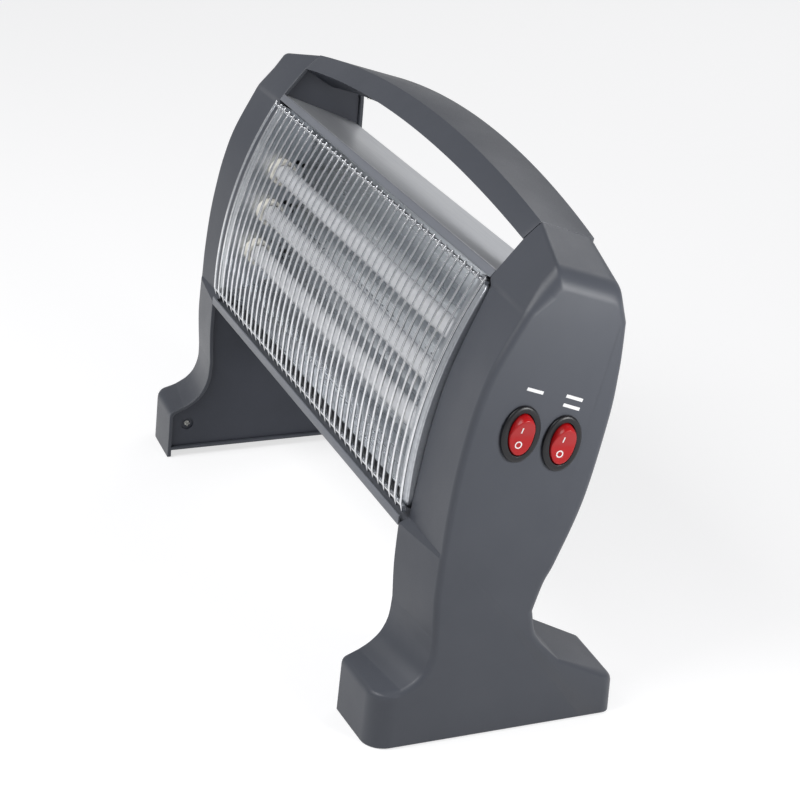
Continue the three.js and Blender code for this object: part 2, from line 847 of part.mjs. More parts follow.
// Rear sheet with rows of cooling slots.
function backSheet() {
  const topZ = topSheetBack().y - topSheetDrop - seatGap;
  const bottomZ = bottomRailCorner().y + sheet + seatGap;
  const line = Array.from({ length: backSheetBends + 1 }, (_, i) => {
    const z = THREE.MathUtils.lerp(topZ, bottomZ, i / backSheetBends);
    return new THREE.Vector2(backLineY(z), z);
  });
  const plate = extrudeAcross(foldedProfile(line, sheet), -housingX, housingX);
  const perRow = 2 * Math.floor((housingX - slotPitch) / slotPitch) + 1;
  const slots = [];
  for (let row = 0; row < slotRows; row++)
    for (let i = 0; i < perRow; i++) {
      const z = topZ - slotPitch + slotHeight - row * slotRowPitch;
      const x = (i - (perRow - 1) / 2) * slotPitch;
      const slot = new THREE.BoxGeometry(slotLength, 2 * slotHeight, slotHeight);
      slots.push(slot.translate(x, backLineY(z), z));
    }
  return cut(plate, ...slots);
}

// Floor of the housing, from the bottom rail's flange to the rear sheet.
function baseSheet() {
  const corner = bottomRailCorner();
  const rearY = backLineY(corner.y + sheet + seatGap);
  const line = [
    new THREE.Vector2(rearY, corner.y),
    new THREE.Vector2(corner.x + bottomRailFlange + seatGap, corner.y),
  ];
  return extrudeAcross(foldedProfile(line, sheet), -housingX, housingX);
}

// The arc of the guard's wires, from just over the bottom rail to just under the top rail.
function guardArc() {
  const from = bottomRailCorner();
  from.set(from.x + guardWireRadius + seatGap, bottomRailTop() + guardFootClearance);
  const to = topRailCorner();
  to.set(to.x - 2 * guardWireRadius, to.y - guardEndClearance);
  return frontArc(from, to, guardBulge);
}

function rodAngles(arc) {
  const inset = (2 * guardRodRadius) / arc.radius;
  return [arc.start + inset, arc.end - inset];
}

// One welded piece: upright wires bowed to the front, on two rods that run across behind them.
function wireGuard() {
  const arc = guardArc();
  const points = arcPoints(arc, arc.radius, guardSteps).map((at) => new THREE.Vector3(0, at.x, at.y));
  const section = new THREE.Shape().absarc(0, 0, guardWireRadius, 0, 2 * Math.PI);
  const wire = new THREE.ExtrudeGeometry(section, {
    steps: guardSteps,
    curveSegments: wireSides / 2,
    bevelEnabled: false,
    extrudePath: new THREE.CatmullRomCurve3(points),
  });
  const gaps = Math.floor(2 * (innerX - guardSideMargin) / guardPitch);
  const pieces = Array.from({ length: gaps + 1 }, (_, i) =>
    wire.clone().translate((i - gaps / 2) * guardPitch, 0, 0));
  for (const angle of rodAngles(arc)) {
    const [at] = arcPoints(arc, arc.radius - guardRodInset, 1, angle, angle);
    pieces.push(barAcross(guardRodRadius, -buttX, buttX, at, wireSides));
  }
  return join(...pieces);
}

function endPlateX() {
  return innerX - endPlateInset;
}

// Line of the reflector's folds, from behind the top rail down behind the tubes to the bottom rail.
function reflectorLine() {
  return reflectorShares.map(place);
}

function reflector() {
  const x = endPlateX() - seatGap;
  return extrudeAcross(foldedProfile(reflectorLine().reverse(), reflectorSheet), -x, x);
}

// Plate across each end of the reflector, with a flange behind the guard that reaches the panel.
function endPlate() {
  const x = endPlateX();
  const arc = guardArc();
  const frontRadius = arc.radius - guardRodInset - guardRodRadius - seatGap;
  const front = arcPoints(arc, frontRadius, guardSteps);
  const backLine = reflectorLine().slice(0, -1).map((point) =>
    point.add(new THREE.Vector2(endPlateBackMargin, 0)));
  const floorZ = bottomRailCorner().y + sheet + seatGap;
  const footFront = new THREE.Vector2(bottomRailCorner().x + bottomRailFlange + sheet, floorZ);
  const footBack = new THREE.Vector2(backLine[backLine.length - 1].x, floorZ);
  const profile = [...front, ...backLine, footBack, footFront];
  const plate = extrudeAcross(profile, x, x + endPlateSheet);
  const flange = extrudeAcross(foldedProfile(front, endPlateSheet), x + endPlateSheet / 2, buttX);
  const necks = tubePlaces().map((at) =>
    barAcross(capNeckRadius + seatGap, x - cutOverrun, x + endPlateSheet + cutOverrun, at));
  return cut(join(plate, flange), ...necks);
}

// The tubes stand over each other along the lean of the window's edge.
function tubePlaces() {
  const lean = innerStart("lintel").sub(innerStart("window")).normalize();
  return [0, 1, 2].map((index) => place(tubeTopShare).addScaledVector(lean, -index * tubePitch));
}

function capSocketX() {
  return endPlateX() - seatGap - capLength + capSocketDepth;
}

function quartzTube(at) {
  const x = capSocketX() - seatGap;
  const bore = tubeRadius - tubeWall;
  return turnedAcross([[bore, -x], [tubeRadius, -x], [tubeRadius, x], [bore, x], [bore, -x]], at);
}

function heatingCoil(at) {
  const x = capSocketX() - 2 * seatGap;
  const outer = tubeRadius - tubeWall - seatGap;
  const inner = outer - coilWall;
  const profile = [[inner, -x], [outer, -x], [outer, x], [inner, x], [inner, -x]];
  return turnedAcross(profile, at, smallRoundSides);
}

// Ceramic cap: a socket for the tube's end, and a neck through the end plate with a lead hole.
function tubeCap(at) {
  const faceX = endPlateX() - seatGap;
  const mouthX = faceX - capLength;
  const socket = tubeRadius + seatGap;
  return turnedAcross([
    [capWireRadius, capSocketX()],
    [socket, capSocketX()],
    [socket, mouthX],
    [capRadius, mouthX],
    [capRadius, faceX],
    [capNeckRadius, faceX],
    [capNeckRadius, faceX + capNeckLength],
    [capWireRadius, faceX + capNeckLength],
    [capWireRadius, capSocketX()],
  ], at);
}

function capEndX() {
  return endPlateX() - seatGap + capNeckLength;
}

function mirrored() {
  const group = new THREE.Group();
  group.scale.x = -1;
  return group;
}

// Tubes, coils and caps, with the reflector behind them.
function heatingUnit() {
  const group = new THREE.Group();
  const leftEnd = mirrored();
  group.add(named("reflector", reflector(), brightAluminium));
  group.add(named("end_plate_right", endPlate(), bareSteel));
  leftEnd.add(named("end_plate_left", endPlate(), bareSteel));
  tubePlaces().forEach((at, i) => {
    const number = i + 1;
    group.add(named("quartz_tube_" + number, quartzTube(at), quartz));
    group.add(named("heating_coil_" + number, heatingCoil(at), heatingWire));
    group.add(named("tube_cap_right_" + number, tubeCap(at), ceramic));
    leftEnd.add(named("tube_cap_left_" + number, tubeCap(at), ceramic));
  });
  group.add(leftEnd);
  return group;
}

// Round lead along a smooth curve through the given points.
function lead(points) {
  const section = new THREE.Shape().absarc(0, 0, leadRadius, 0, 2 * Math.PI);
  return new THREE.ExtrudeGeometry(section, {
    steps: leadSteps,
    curveSegments: wireSides / 2,
    bevelEnabled: false,
    extrudePath: new THREE.CatmullRomCurve3(points),
  });
}

// Leads from the caps through the cover to the backs of the switches.
function supplyLeadPoints(index) {
  const at = tubePlaces()[index];
  const switchIndex = Math.min(index, 1);
  const socket = new THREE.Vector3(-switchBodyDepth - seatGap - leadRadius, 0, (1 - index) * tubeRadius)
    .applyMatrix4(switchFrame(switchIndex));
  const midX = coverBackX + leadBow;
  return [
    new THREE.Vector3(capEndX() + seatGap, at.x, at.y),
    new THREE.Vector3(coverBackX, at.x, at.y),
    new THREE.Vector3(midX, (at.x + socket.y) / 2, (at.y + socket.z) / 2),
    new THREE.Vector3(socket.x, socket.y, socket.z),
  ];
}

// Links that join the far ends of the tubes.
function farLinkPoints(index) {
  const [upper, lower] = tubePlaces().slice(index, index + 2);
  const capEnd = capEndX() + seatGap;
  const apart = 2 * leadRadius;
  const start = upper.clone().lerp(lower, apart / tubePitch);
  const end = lower.clone().lerp(upper, apart / tubePitch);
  const middle = start.clone().add(end).divideScalar(2);
  const bowX = capEnd + 3 * leadRadius;
  return [
    new THREE.Vector3(-capEnd, start.x, start.y),
    new THREE.Vector3(-capEnd - 2 * leadRadius, start.x, start.y),
    new THREE.Vector3(-bowX, middle.x + leadBow / 2, middle.y),
    new THREE.Vector3(-capEnd - 2 * leadRadius, end.x, end.y),
    new THREE.Vector3(-capEnd, end.x, end.y),
  ];
}

// Switch case: an oval bezel on the panel, the body behind it, and the pocket for the rocker.
function switchCase() {
  const bezel = loft([
    ovalRing(seatGap, bezelWidth, bezelLength),
    ovalRing(bezelHeight - bezelRound, bezelWidth, bezelLength),
    ovalRing(bezelHeight, bezelWidth - 2 * bezelRound, bezelLength - 2 * bezelRound),
  ]);
  const bodyWidth = bezelWidth - 2 * switchBodyInset;
  const bodyLength = bezelLength - 2 * switchBodyInset;
  const body = ovalBlock(bodyWidth, bodyLength, -switchBodyDepth, bezelHeight / 2);
  const pocket = ovalBlock(
    rockerWidth + 2 * seatGap,
    rockerLength + 2 * seatGap,
    bezelHeight - rockerPocketDepth,
    bezelHeight + cutOverrun,
  );
  return cut(join(bezel, body), pocket);
}

// Rocker about its pivot. Its sides are part of a ball drawn out into an oval across the pivot's
// line, so that they clear the pocket at both positions, and its top is dished.
function rocker() {
  const reach = rockerLength / 2;
  const ball = new THREE.SphereGeometry(reach, ovalSides, ovalSides / 2)
    .rotateZ(Math.PI / 2)
    .scale(1, rockerWidth / rockerLength, 1);
  const endX = reach * Math.sin(rockerEndAngle);
  const endZ = reach * Math.cos(rockerEndAngle);
  const overZ = reach + cutOverrun;
  const overX = rockerDish + ((endX - rockerDish) * overZ) / endZ;
  const side = [
    new THREE.Vector2(rockerFloor, -overZ),
    new THREE.Vector2(-overX, -overZ),
    new THREE.Vector2(-rockerDish, 0),
    new THREE.Vector2(-overX, overZ),
    new THREE.Vector2(rockerFloor, overZ),
  ];
  const band = extrudeAcross(side, -rockerWidth, rockerWidth).rotateZ(-Math.PI / 2);
  return geometryOf(solidOf(ball).intersect(solidOf(band)));
}

// The lower end is pressed at rest, so both heating stages are off.
function rockerSwitch(index) {
  const group = new THREE.Group();
  group.applyMatrix4(switchFrame(index));
  group.add(named("switch_case_" + (index + 1), switchCase(), switchPlastic));
  const moving = named("rocker_" + (index + 1), rocker(), rockerRed);
  moving.position.x = bezelHeight - rockerPivotDepth;
  moving.rotation.y = rockerTilt;
  group.add(moving);
  return group;
}

// Box on the switch side's outer wall, open inwards, with a pin for the hanging weight.
function tipCase() {
  const backX = cavityX - seatGap;
  const at = place(tipShare);
  const outer = new THREE.BoxGeometry(tipWidth, tipBreadth, tipHeight)
    .translate(backX - tipWidth / 2, at.x, at.y);
  const inner = new THREE.BoxGeometry(tipWidth, tipBreadth - 2 * tipWall, tipHeight - 2 * tipWall)
    .translate(backX - tipWidth / 2 - tipWall, at.x, at.y);
  const pinEndX = backX - tipWall / 2;
  const pin = barAcross(tipPinRadius, backX - tipWidth, pinEndX, tipPivot(), smallRoundSides);
  return join(cut(outer, inner), pin);
}

function tipPivot() {
  return place(tipShare).add(new THREE.Vector2(0, tipHeight / 2 - tipWall - tipHub - 2 * seatGap));
}

function tipWeight() {
  const at = tipPivot();
  const backX = cavityX - seatGap - tipWall - 2 * seatGap;
  const frontX = backX - tipWeightThickness;
  const bobAt = at.clone().sub(new THREE.Vector2(0, tipArm));
  const hub = barAcross(tipHub, frontX, backX, at);
  const bob = barAcross(tipBob, frontX, backX, bobAt);
  const arm = new THREE.BoxGeometry(tipWeightThickness, tipArmWidth, tipArm)
    .translate((frontX + backX) / 2, at.x, at.y - tipArm / 2);
  const eye = barAcross(
    tipPinRadius + seatGap, frontX - cutOverrun, backX + cutOverrun, at, smallRoundSides,
  );
  return cut(join(hub, bob, arm), eye);
}

function terminalBlock() {
  const baseZ = soleWall + seatGap;
  const y = terminalShare * footLength;
  const block = new THREE.BoxGeometry(terminalWidth, terminalLength, terminalHeight)
    .translate(panelMiddleX, y, baseZ + terminalHeight / 2);
  const holes = [-1, 1].flatMap((row) => [-1, 1].map((column) =>
    new THREE.CylinderGeometry(terminalHoleRadius, terminalHoleRadius, terminalHeight, roundSides)
      .rotateX(Math.PI / 2)
      .translate(
        panelMiddleX + column * terminalWidth / 4,
        y + row * terminalLength / 4,
        baseZ + terminalHeight,
      )));
  return cut(block, ...holes);
}

// Bush in the heel's back wall, flush outside, with a collar inside.
function cordBush() {
  const backY = footLength - seatGap;
  const wallInner = footLength - 2 * panelWall;
  const profile = [
    [inletBoreShare, wallInner - inletCollarThickness],
    [inletCollarShare, wallInner - inletCollarThickness],
    [inletCollarShare, wallInner],
    [inletRadiusShare, wallInner],
    [inletRadiusShare, backY],
    [inletBoreShare, backY],
    [inletBoreShare, wallInner - inletCollarThickness],
  ].map(([share, y]) => new THREE.Vector2(heelRoom(share), y));
  return new THREE.LatheGeometry(profile, roundSides).translate(panelMiddleX, 0, inletHeight());
}

// Everything that sits in the switch side's panel.
function switchSideFittings() {
  const group = new THREE.Group();
  group.add(rockerSwitch(0), rockerSwitch(1));
  group.add(named("tip_switch_case", tipCase(), switchPlastic));
  group.add(named("tip_switch_weight", tipWeight(), brass));
  group.add(named("terminal_block", terminalBlock(), ceramic));
  group.add(named("cord_bush", cordBush(), switchPlastic));
  [0, 1, 2].forEach((index) =>
    group.add(named("supply_lead_" + (index + 1), lead(supplyLeadPoints(index)), leadCover)));
  return group;
}

const leadHoles = tubePlaces().map((at) =>
  barAcross(leadRadius + 2 * seatGap, innerX, outerX, at, smallRoundSides));

const heater = new THREE.Group();
heater.add(sidePanel("right", switchSideCuts(), leadHoles));
const leftSide = mirrored();
leftSide.add(sidePanel("left", [], []));
heater.add(leftSide);
heater.add(handle());
heater.add(named("top_rail", topRail(), railPaint));
heater.add(named("bottom_rail", bottomRail(), railPaint));
heater.add(named("top_sheet", topSheet(), bareSteel));
heater.add(named("back_sheet", backSheet(), bareSteel));
heater.add(named("base_sheet", baseSheet(), bareSteel));
heater.add(named("wire_guard", wireGuard(), guardChrome));
heater.add(heatingUnit());
heater.add(switchSideFittings());
[0, 1].forEach((index) =>
  heater.add(named("far_link_" + (index + 1), lead(farLinkPoints(index)), leadCover)));

// The origin is on the floor, under the middle of the heater's box.
const bounds = new THREE.Box3().setFromObject(heater);
const middle = bounds.getCenter(new THREE.Vector3());
heater.position.set(-middle.x, -middle.y, -bounds.min.z);

export default heater;
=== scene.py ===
"""A portable quartz radiant heater, dressed on its solid model.

Two hollow moulded side panels stand on the floor. Between them are a folded steel housing, three
quartz tubes before a bright reflector, a bowed wire guard and an arched carrying handle.
Metres, +Z up; the guard faces -Y and the panel with the two switches is at +X.
"""

import math
from collections import namedtuple

import bmesh
import bpy
from mathutils import Matrix, Vector


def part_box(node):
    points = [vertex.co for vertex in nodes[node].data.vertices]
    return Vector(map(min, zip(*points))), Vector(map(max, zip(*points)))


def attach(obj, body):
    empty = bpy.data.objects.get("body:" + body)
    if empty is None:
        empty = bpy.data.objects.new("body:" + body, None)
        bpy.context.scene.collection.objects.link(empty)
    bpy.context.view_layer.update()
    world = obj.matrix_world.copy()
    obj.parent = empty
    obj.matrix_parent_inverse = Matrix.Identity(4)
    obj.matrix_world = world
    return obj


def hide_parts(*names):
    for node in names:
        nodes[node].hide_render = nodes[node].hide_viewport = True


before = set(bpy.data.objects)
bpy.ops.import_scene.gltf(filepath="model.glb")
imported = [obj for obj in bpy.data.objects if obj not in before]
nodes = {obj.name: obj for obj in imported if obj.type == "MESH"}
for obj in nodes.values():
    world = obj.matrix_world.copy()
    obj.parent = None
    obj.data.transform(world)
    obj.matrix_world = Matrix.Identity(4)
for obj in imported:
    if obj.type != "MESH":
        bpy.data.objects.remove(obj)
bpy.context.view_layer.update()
mm = 0.001


# The camera stands off the switch side, in front of the guard and a little above the handle, and
# looks along a long lens.
def in_scene(name, data):
    made = bpy.data.objects.new(name, data)
    bpy.context.scene.collection.objects.link(made)
    return made


camera_place = Vector((1.01697, -0.45454, 0.61270))
camera_right = Vector((0.3868, 0.9184, 0.0836)).normalized()
camera_back = Vector((0.8266, -0.3855, 0.4101)).normalized()
camera_up = camera_back.cross(camera_right).normalized()
camera_right = camera_up.cross(camera_back)
camera_data = bpy.data.cameras.new("camera")
camera_data.lens = 90
camera_data.sensor_width = 36
camera = in_scene("camera", camera_data)
turn = Matrix((camera_right, camera_up, camera_back)).transposed().to_4x4()
camera.matrix_world = Matrix.Translation(camera_place) @ turn
bpy.context.scene.camera = camera


# The floor is one plain pale sheet. What the camera and bright metal see of it is white, and it
# keeps the shadow that the heater throws.
floor_reach = 9
floor_drop = 0.4 * mm


def linear(level):
    level = level / 255
    return level / 12.92 if level <= 0.04045 else ((level + 0.055) / 1.055) ** 2.4


def colour(red, green, blue):
    return (linear(red), linear(green), linear(blue), 1.0)


def new_material(name):
    material = bpy.data.materials.new(name)
    material.use_nodes = True
    tree = material.node_tree
    return material, tree, tree.nodes["Principled BSDF"]


def fill_inputs(tree, made, inputs):
    """Gives a node's inputs their values, or links where the value is another node's socket."""
    for key, value in inputs.items():
        if isinstance(value, bpy.types.NodeSocket):
            tree.links.new(value, made.inputs[key])
        else:
            made.inputs[key].default_value = value


def node(tree, kind, inputs, **settings):
    """Adds a node with its settings and inputs, and returns its outputs."""
    made = tree.nodes.new(kind)
    for name, value in settings.items():
        setattr(made, name, value)
    fill_inputs(tree, made, inputs)
    return made.outputs


def math_in(tree, operation, first, second):
    return node(tree, "ShaderNodeMath", {0: first, 1: second}, operation=operation)[0]


def seen_light(tree, strength):
    """The strength on rays from the camera and on mirrored and refracted rays, none on others."""
    rays = node(tree, "ShaderNodeLightPath", {})
    seen = math_in(tree, "MAXIMUM", rays["Is Camera Ray"], rays["Is Glossy Ray"])
    seen = math_in(tree, "MAXIMUM", seen, rays["Is Transmission Ray"])
    return math_in(tree, "MULTIPLY", seen, strength)


floor_corners = [(x * floor_reach, y * floor_reach, -floor_drop)
                 for x, y in ((-1, -1), (1, -1), (1, 1), (-1, 1))]
floor_mesh = bpy.data.meshes.new("floor")
floor_mesh.from_pydata(floor_corners, [], [(0, 1, 2, 3)])
floor = in_scene("floor", floor_mesh)
floor_white, tree, shader = new_material("floor_white")
fill_inputs(tree, shader, {
    "Base Color": colour(170, 170, 171), "Roughness": 0.9, "Emission Color": (1, 1, 1, 1),
    "Emission Strength": seen_light(tree, 0.66),
})
floor_mesh.materials.append(floor_white)


# Studio light: a grey room, a soft panel high over the guard side, a small near one beside the
# switches whose light falls off towards the foot, and a broad one high behind the handle.
def soft_panel(name, place, aim, width, height, watts):
    lamp = bpy.data.lights.new(name, "AREA")
    lamp.shape = "RECTANGLE"
    lamp.size = width
    lamp.size_y = height
    lamp.energy = watts
    fitting = in_scene(name, lamp)
    fitting.location = place
    fitting.rotation_euler = (Vector(aim) - Vector(place)).to_track_quat("-Z", "Y").to_euler()


def mix_in(tree, factor, first, second):
    """Mixes two colours, as sockets or values."""
    return node(tree, "ShaderNodeMix", {"Factor": factor, 6: first, 7: second},
                data_type="RGBA")[2]


soft_panel("key_panel", (0.1, -0.9, 1.1), (0.05, 0, 0.25), 0.9, 0.7, 14)
soft_panel("switch_panel", (0.47, 0.16, 0.28), (0.2, 0, 0.24), 0.16, 0.16, 1.2)
soft_panel("rear_panel", (-1.2, 1.6, 1.6), (0, 0, 0.2), 1.2, 1.0, 9)

room = bpy.data.worlds.new("pale_room")
bpy.context.scene.world = room
room.use_nodes = True
tree = room.node_tree
where = node(tree, "ShaderNodeTexCoord", {})["Generated"]
shade = tree.nodes.new("ShaderNodeValToRGB")
for element, position, tone in zip(shade.color_ramp.elements, (0.0, 0.8),
                                   ((0.50, 0.51, 0.53, 1), (0.25, 0.25, 0.26, 1))):
    element.position, element.color = position, tone
fill_inputs(tree, shade, {0: node(tree, "ShaderNodeSeparateXYZ", {0: where})["Z"]})
from_camera = node(tree, "ShaderNodeLightPath", {})["Is Camera Ray"]
fill_inputs(tree, tree.nodes["Background"], {
    "Color": mix_in(tree, from_camera, shade.outputs[0], (1.12, 1.12, 1.12, 1)), "Strength": 0.9,
})
bpy.context.scene.view_settings.view_transform = "Standard"


# Side panels: one hollow moulding at each end, satin slate-grey plastic about 2.5 mm thick, open
# to the inside, with rounded outer edges. The right one has two oval openings for the switches
# and a hole in the heel for the mains bush.
foot_length = 150 * mm
panel_height = 280 * mm
panel_thickness = 45 * mm
panel_wall = 2.5 * mm
toe_round = 13 * mm
front_round = 3.2 * mm
brow_round = 4.5 * mm
crown_round = 9 * mm
ridge_round = 2 * mm
back_round = 5 * mm
heel_round = 8 * mm
sole_round = 0.8 * mm
toe_corner = 5 * mm
crown_corner = 2 * mm
rear_corner = 8 * mm
heel_corner = 6 * mm
sole_wall = 7 * mm
sole_lift = 5 * mm
sole_lift_width = 16 * mm
seat_gap = 0.3 * mm
fine_step = 1 * mm
rim_round = 0.35 * mm
least_turn = math.radians(17)
right_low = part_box("right_side_shell")[0]
left_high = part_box("left_side_shell")[1]
mid_x = (right_low.x + left_high.x) / 2
front_y = right_low.y
inner_x = right_low.x - mid_x
outer_x = inner_x + panel_thickness

# Each stretch of the outline, clockwise from the front of the sole: shares of the foot's length
# and the panel's height on the open inner edge, then on the outer face, up to where the next
# stretch starts; the roundings at its start and end; and the radius of the corner at its start.
waist_line = [(0.836, 0.75), (0.822, 0.661), (0.765, 0.496), (0.684, 0.368), (0.645, 0.321)]
arch_line = [(0.614, 0.262), (0.632, 0.215), (0.66, 0.188), (0.704, 0.162)]
panel_shares = [
    ("toe", [(0, 0)], [(0.012, 0)], toe_round, toe_round, 0),
    ("toe_top", [(0.005, 0.118)], [(0.017, 0.118)], front_round, front_round, toe_corner),
    ("instep", [(0.067, 0.132), (0.11, 0.146), (0.15, 0.168), (0.175, 0.2)],
     [(0.12, 0.126), (0.168, 0.141), (0.202, 0.162), (0.222, 0.194)], front_round, front_round, 0),
    ("shin", [(0.183, 0.243), (0.177, 0.321)], [(0.224, 0.229), (0.215, 0.318)],
     front_round, front_round, 0),
    ("ledge", [(0.181, 0.404)], [(0.221, 0.404)], front_round, front_round, 0),
    ("window", [(0.22, 0.414), (0.236, 0.48), (0.26, 0.57), (0.287, 0.644), (0.321, 0.713),
                (0.372, 0.787)],
     [(0.222, 0.412), (0.228, 0.48), (0.244, 0.57), (0.266, 0.644), (0.294, 0.713), (0.34, 0.787)],
     front_round, brow_round, 0),
    ("lintel", [(0.447, 0.882)], [(0.432, 0.882)], brow_round, brow_round, 0),
    ("brow", [(0.44, 0.898)], [(0.445, 0.892)], brow_round, crown_round, crown_corner),
    ("crest", [(0.551, 0.969)], [(0.496, 0.93)], crown_round, crown_round, 0),
    ("top", [(0.615, 1)], [(0.543, 0.965)], crown_round, crown_round, crown_corner),
    ("rear", [(0.832, 0.96)], [(0.8, 0.92)], back_round, back_round, rear_corner),
    ("back", [(0.838, 0.885), (0.838, 0.821)] + waist_line,
     [(0.836, 0.85), (0.838, 0.8)] + waist_line, back_round, back_round, 0),
    ("arch", arch_line, arch_line, back_round, ridge_round, 0),
    ("heel", [(0.733, 0.155)], [(0.74, 0.143)], ridge_round, ridge_round, 0),
    ("heel_back", [(0.995, 0.082)], [(0.993, 0.079)], heel_round, heel_round, heel_corner),
    ("sole", [(1, 0)], [(1, 0)], sole_round, sole_round, 0),
]


def on_panel(share):
    """A point of a panel's outline plane, as its Y and Z."""
    return Vector((front_y + share[0] * foot_length, share[1] * panel_height))


def inner_start(stretch):
    return on_panel(next(row[1][0] for row in panel_shares if row[0] == stretch))


def smooth_points(points, steps):
    """Points along a line through the given ones, straight between two and smooth through more."""
    last = len(points) - 1
    made = []
    for step in range(steps + 1):
        along = last * step / steps
        start = min(int(along), last - 1)
        t = along - start
        a, b = points[max(start - 1, 0)], points[start]
        c, d = points[start + 1], points[min(start + 2, last)]
        if last == 1:
            made.append(b.lerp(c, t))
            continue
        slope_b, slope_c = (c - a) / 2, (d - b) / 2
        made.append(
            (2 * b - 2 * c + slope_b + slope_c) * t ** 3
            + (3 * c - 3 * b - 2 * slope_b - slope_c) * t ** 2
            + slope_b * t + b
        )
    return made


# A vertex of the outline; split is into how many parts the edge after it is cut.
Vertex = namedtuple("Vertex", "inner outer rounding wall split corner")


def panel_outline():
    made = []
    for row, after in zip(panel_shares, panel_shares[1:] + panel_shares[:1]):
        stretch, *lines, first_round, last_round, corner = row
        inner, outer = ([on_panel(share) for share in line + next_line[:1]]
                        for line, next_line in zip(lines, after[1:3]))
        length = max(sum((b - a).length for a, b in zip(line, line[1:]))
                     for line in (inner, outer))
        parts = math.ceil(length / fine_step)
        plain = len(inner) == 2 and first_round == last_round
        steps, split = (1, parts) if plain else (parts, 1)
        inner, outer = smooth_points(inner, steps), smooth_points(outer, steps)
        wall = sole_wall if stretch == "sole" else panel_wall
        for i in range(steps):
            rounding = first_round + (last_round - first_round) * i / steps
            made.append(Vertex(inner[i], outer[i], rounding, wall, split, corner if i == 0 else 0))
    return made


def inset_outline(points, distances):
    """Moves each edge of a closed clockwise outline inwards by its own distance."""
    count = len(points)
    normals = []
    for i, point in enumerate(points):
        along = (points[(i + 1) % count] - point).normalized()
        normals.append(Vector((along.y, -along.x)))
    moved = []
    for i, point in enumerate(points):
        a, b = normals[i - 1], normals[i]
        turning = a.x * b.y - a.y * b.x
        if abs(turning) < math.sin(least_turn):
            moved.append(point + (a + b).normalized() * (distances[i - 1] + distances[i]) / 2)
            continue
        moved.append(point + Vector((
            (distances[i - 1] * b.y - distances[i] * a.y) / turning,
            (distances[i] * a.x - distances[i - 1] * b.x) / turning,
        )))
    return moved


outline = panel_outline()


def corner_spans():
    """Where each rounded corner lies in a ring, and how many points to either side it takes."""
    spans, place = [], 0
    for i, vertex in enumerate(outline):
        if vertex.corner:
            before, after = outline[i - 1].inner, outline[i + 1].inner
            opening = (before - vertex.inner).angle(after - vertex.inner)
            spans.append((place, math.ceil(vertex.corner / math.tan(opening / 2) / fine_step)))
        place += vertex.split
    return spans


def panel_ring(x_of, inset_of):
    """A ring round the panel as points (x, y, z), x counted outwards from the heater's middle."""
    xs = [x_of(max(v.rounding, outline[i - 1].rounding)) for i, v in enumerate(outline)]
    base = [v.inner.lerp(v.outer, (x - inner_x) / panel_thickness) for v, x in zip(outline, xs)]
    inset = inset_outline(base, [inset_of(vertex) for vertex in outline])
    points = [Vector((x, spot.x, spot.y)) for x, spot in zip(xs, inset)]
    ring = []
    for i, vertex in enumerate(outline):
        after = points[(i + 1) % len(points)]
        ring += [points[i].lerp(after, part / vertex.split) for part in range(vertex.split)]
    for place, reach in corner_spans():
        start, corner, end = ring[place - reach], ring[place], ring[place + reach]
        for step in range(2 * reach + 1):
            t = step / (2 * reach)
            ring[place - reach + step] = (start * (1 - t) ** 2 + corner * 2 * t * (1 - t)
                                          + end * t * t)
    return ring


def quarter(steps):
    return [math.pi / 2 * step / steps for step in range(steps + 1)]


def loft(rings, closed=False):
    """Vertices and faces through rings of as many points each, capped at both ends or closed."""
    count = len(rings[0])
    faces = []
    pairs = [(i, i + 1) for i in range(len(rings) - 1)]
    if closed:
        pairs.append((len(rings) - 1, 0))
    for a, b in pairs:
        for i in range(count):
            j = (i + 1) % count
            faces.append((a * count + i, a * count + j, b * count + j, b * count + i))
    if not closed:
        faces.append(tuple(reversed(range(count))))
        faces.append(tuple(range((len(rings) - 1) * count, len(rings) * count)))
    return [point for ring in rings for point in ring], faces


def piece(name, points, faces, material, sharp=35):
    """A mesh object at the origin, faces out, smooth but for edges over the sharp angle."""
    mesh = bpy.data.meshes.new(name)
    mesh.from_pydata([tuple(point) for point in points], [], faces)
    work = bmesh.new()
    work.from_mesh(mesh)
    bmesh.ops.remove_doubles(work, verts=work.verts, dist=1e-6)
    bmesh.ops.recalc_face_normals(work, faces=work.faces)
    work.to_mesh(mesh)
    work.free()
    mesh.shade_smooth()
    mesh.set_sharp_from_angle(angle=math.radians(sharp))
    if material:
        mesh.materials.append(material)
    return in_scene(name, mesh)


def finished(made, sharp=35):
    """Applies the object's modifiers to its mesh."""
    deps = bpy.context.evaluated_depsgraph_get()
    mesh = bpy.data.meshes.new_from_object(made.evaluated_get(deps), depsgraph=deps)
    made.modifiers.clear()
    made.data = mesh
    mesh.shade_smooth()
    mesh.set_sharp_from_angle(angle=math.radians(sharp))
    return made


def cut_from(made, cutters):
    """Cuts the given objects out of a piece, and removes them."""
    for cutter in cutters:
        step = made.modifiers.new("cut", "BOOLEAN")
        step.operation = "DIFFERENCE"
        step.solver = "EXACT"
        step.object = cutter
    finished(made)
    for cutter in cutters:
        bpy.data.objects.remove(cutter)
    return made


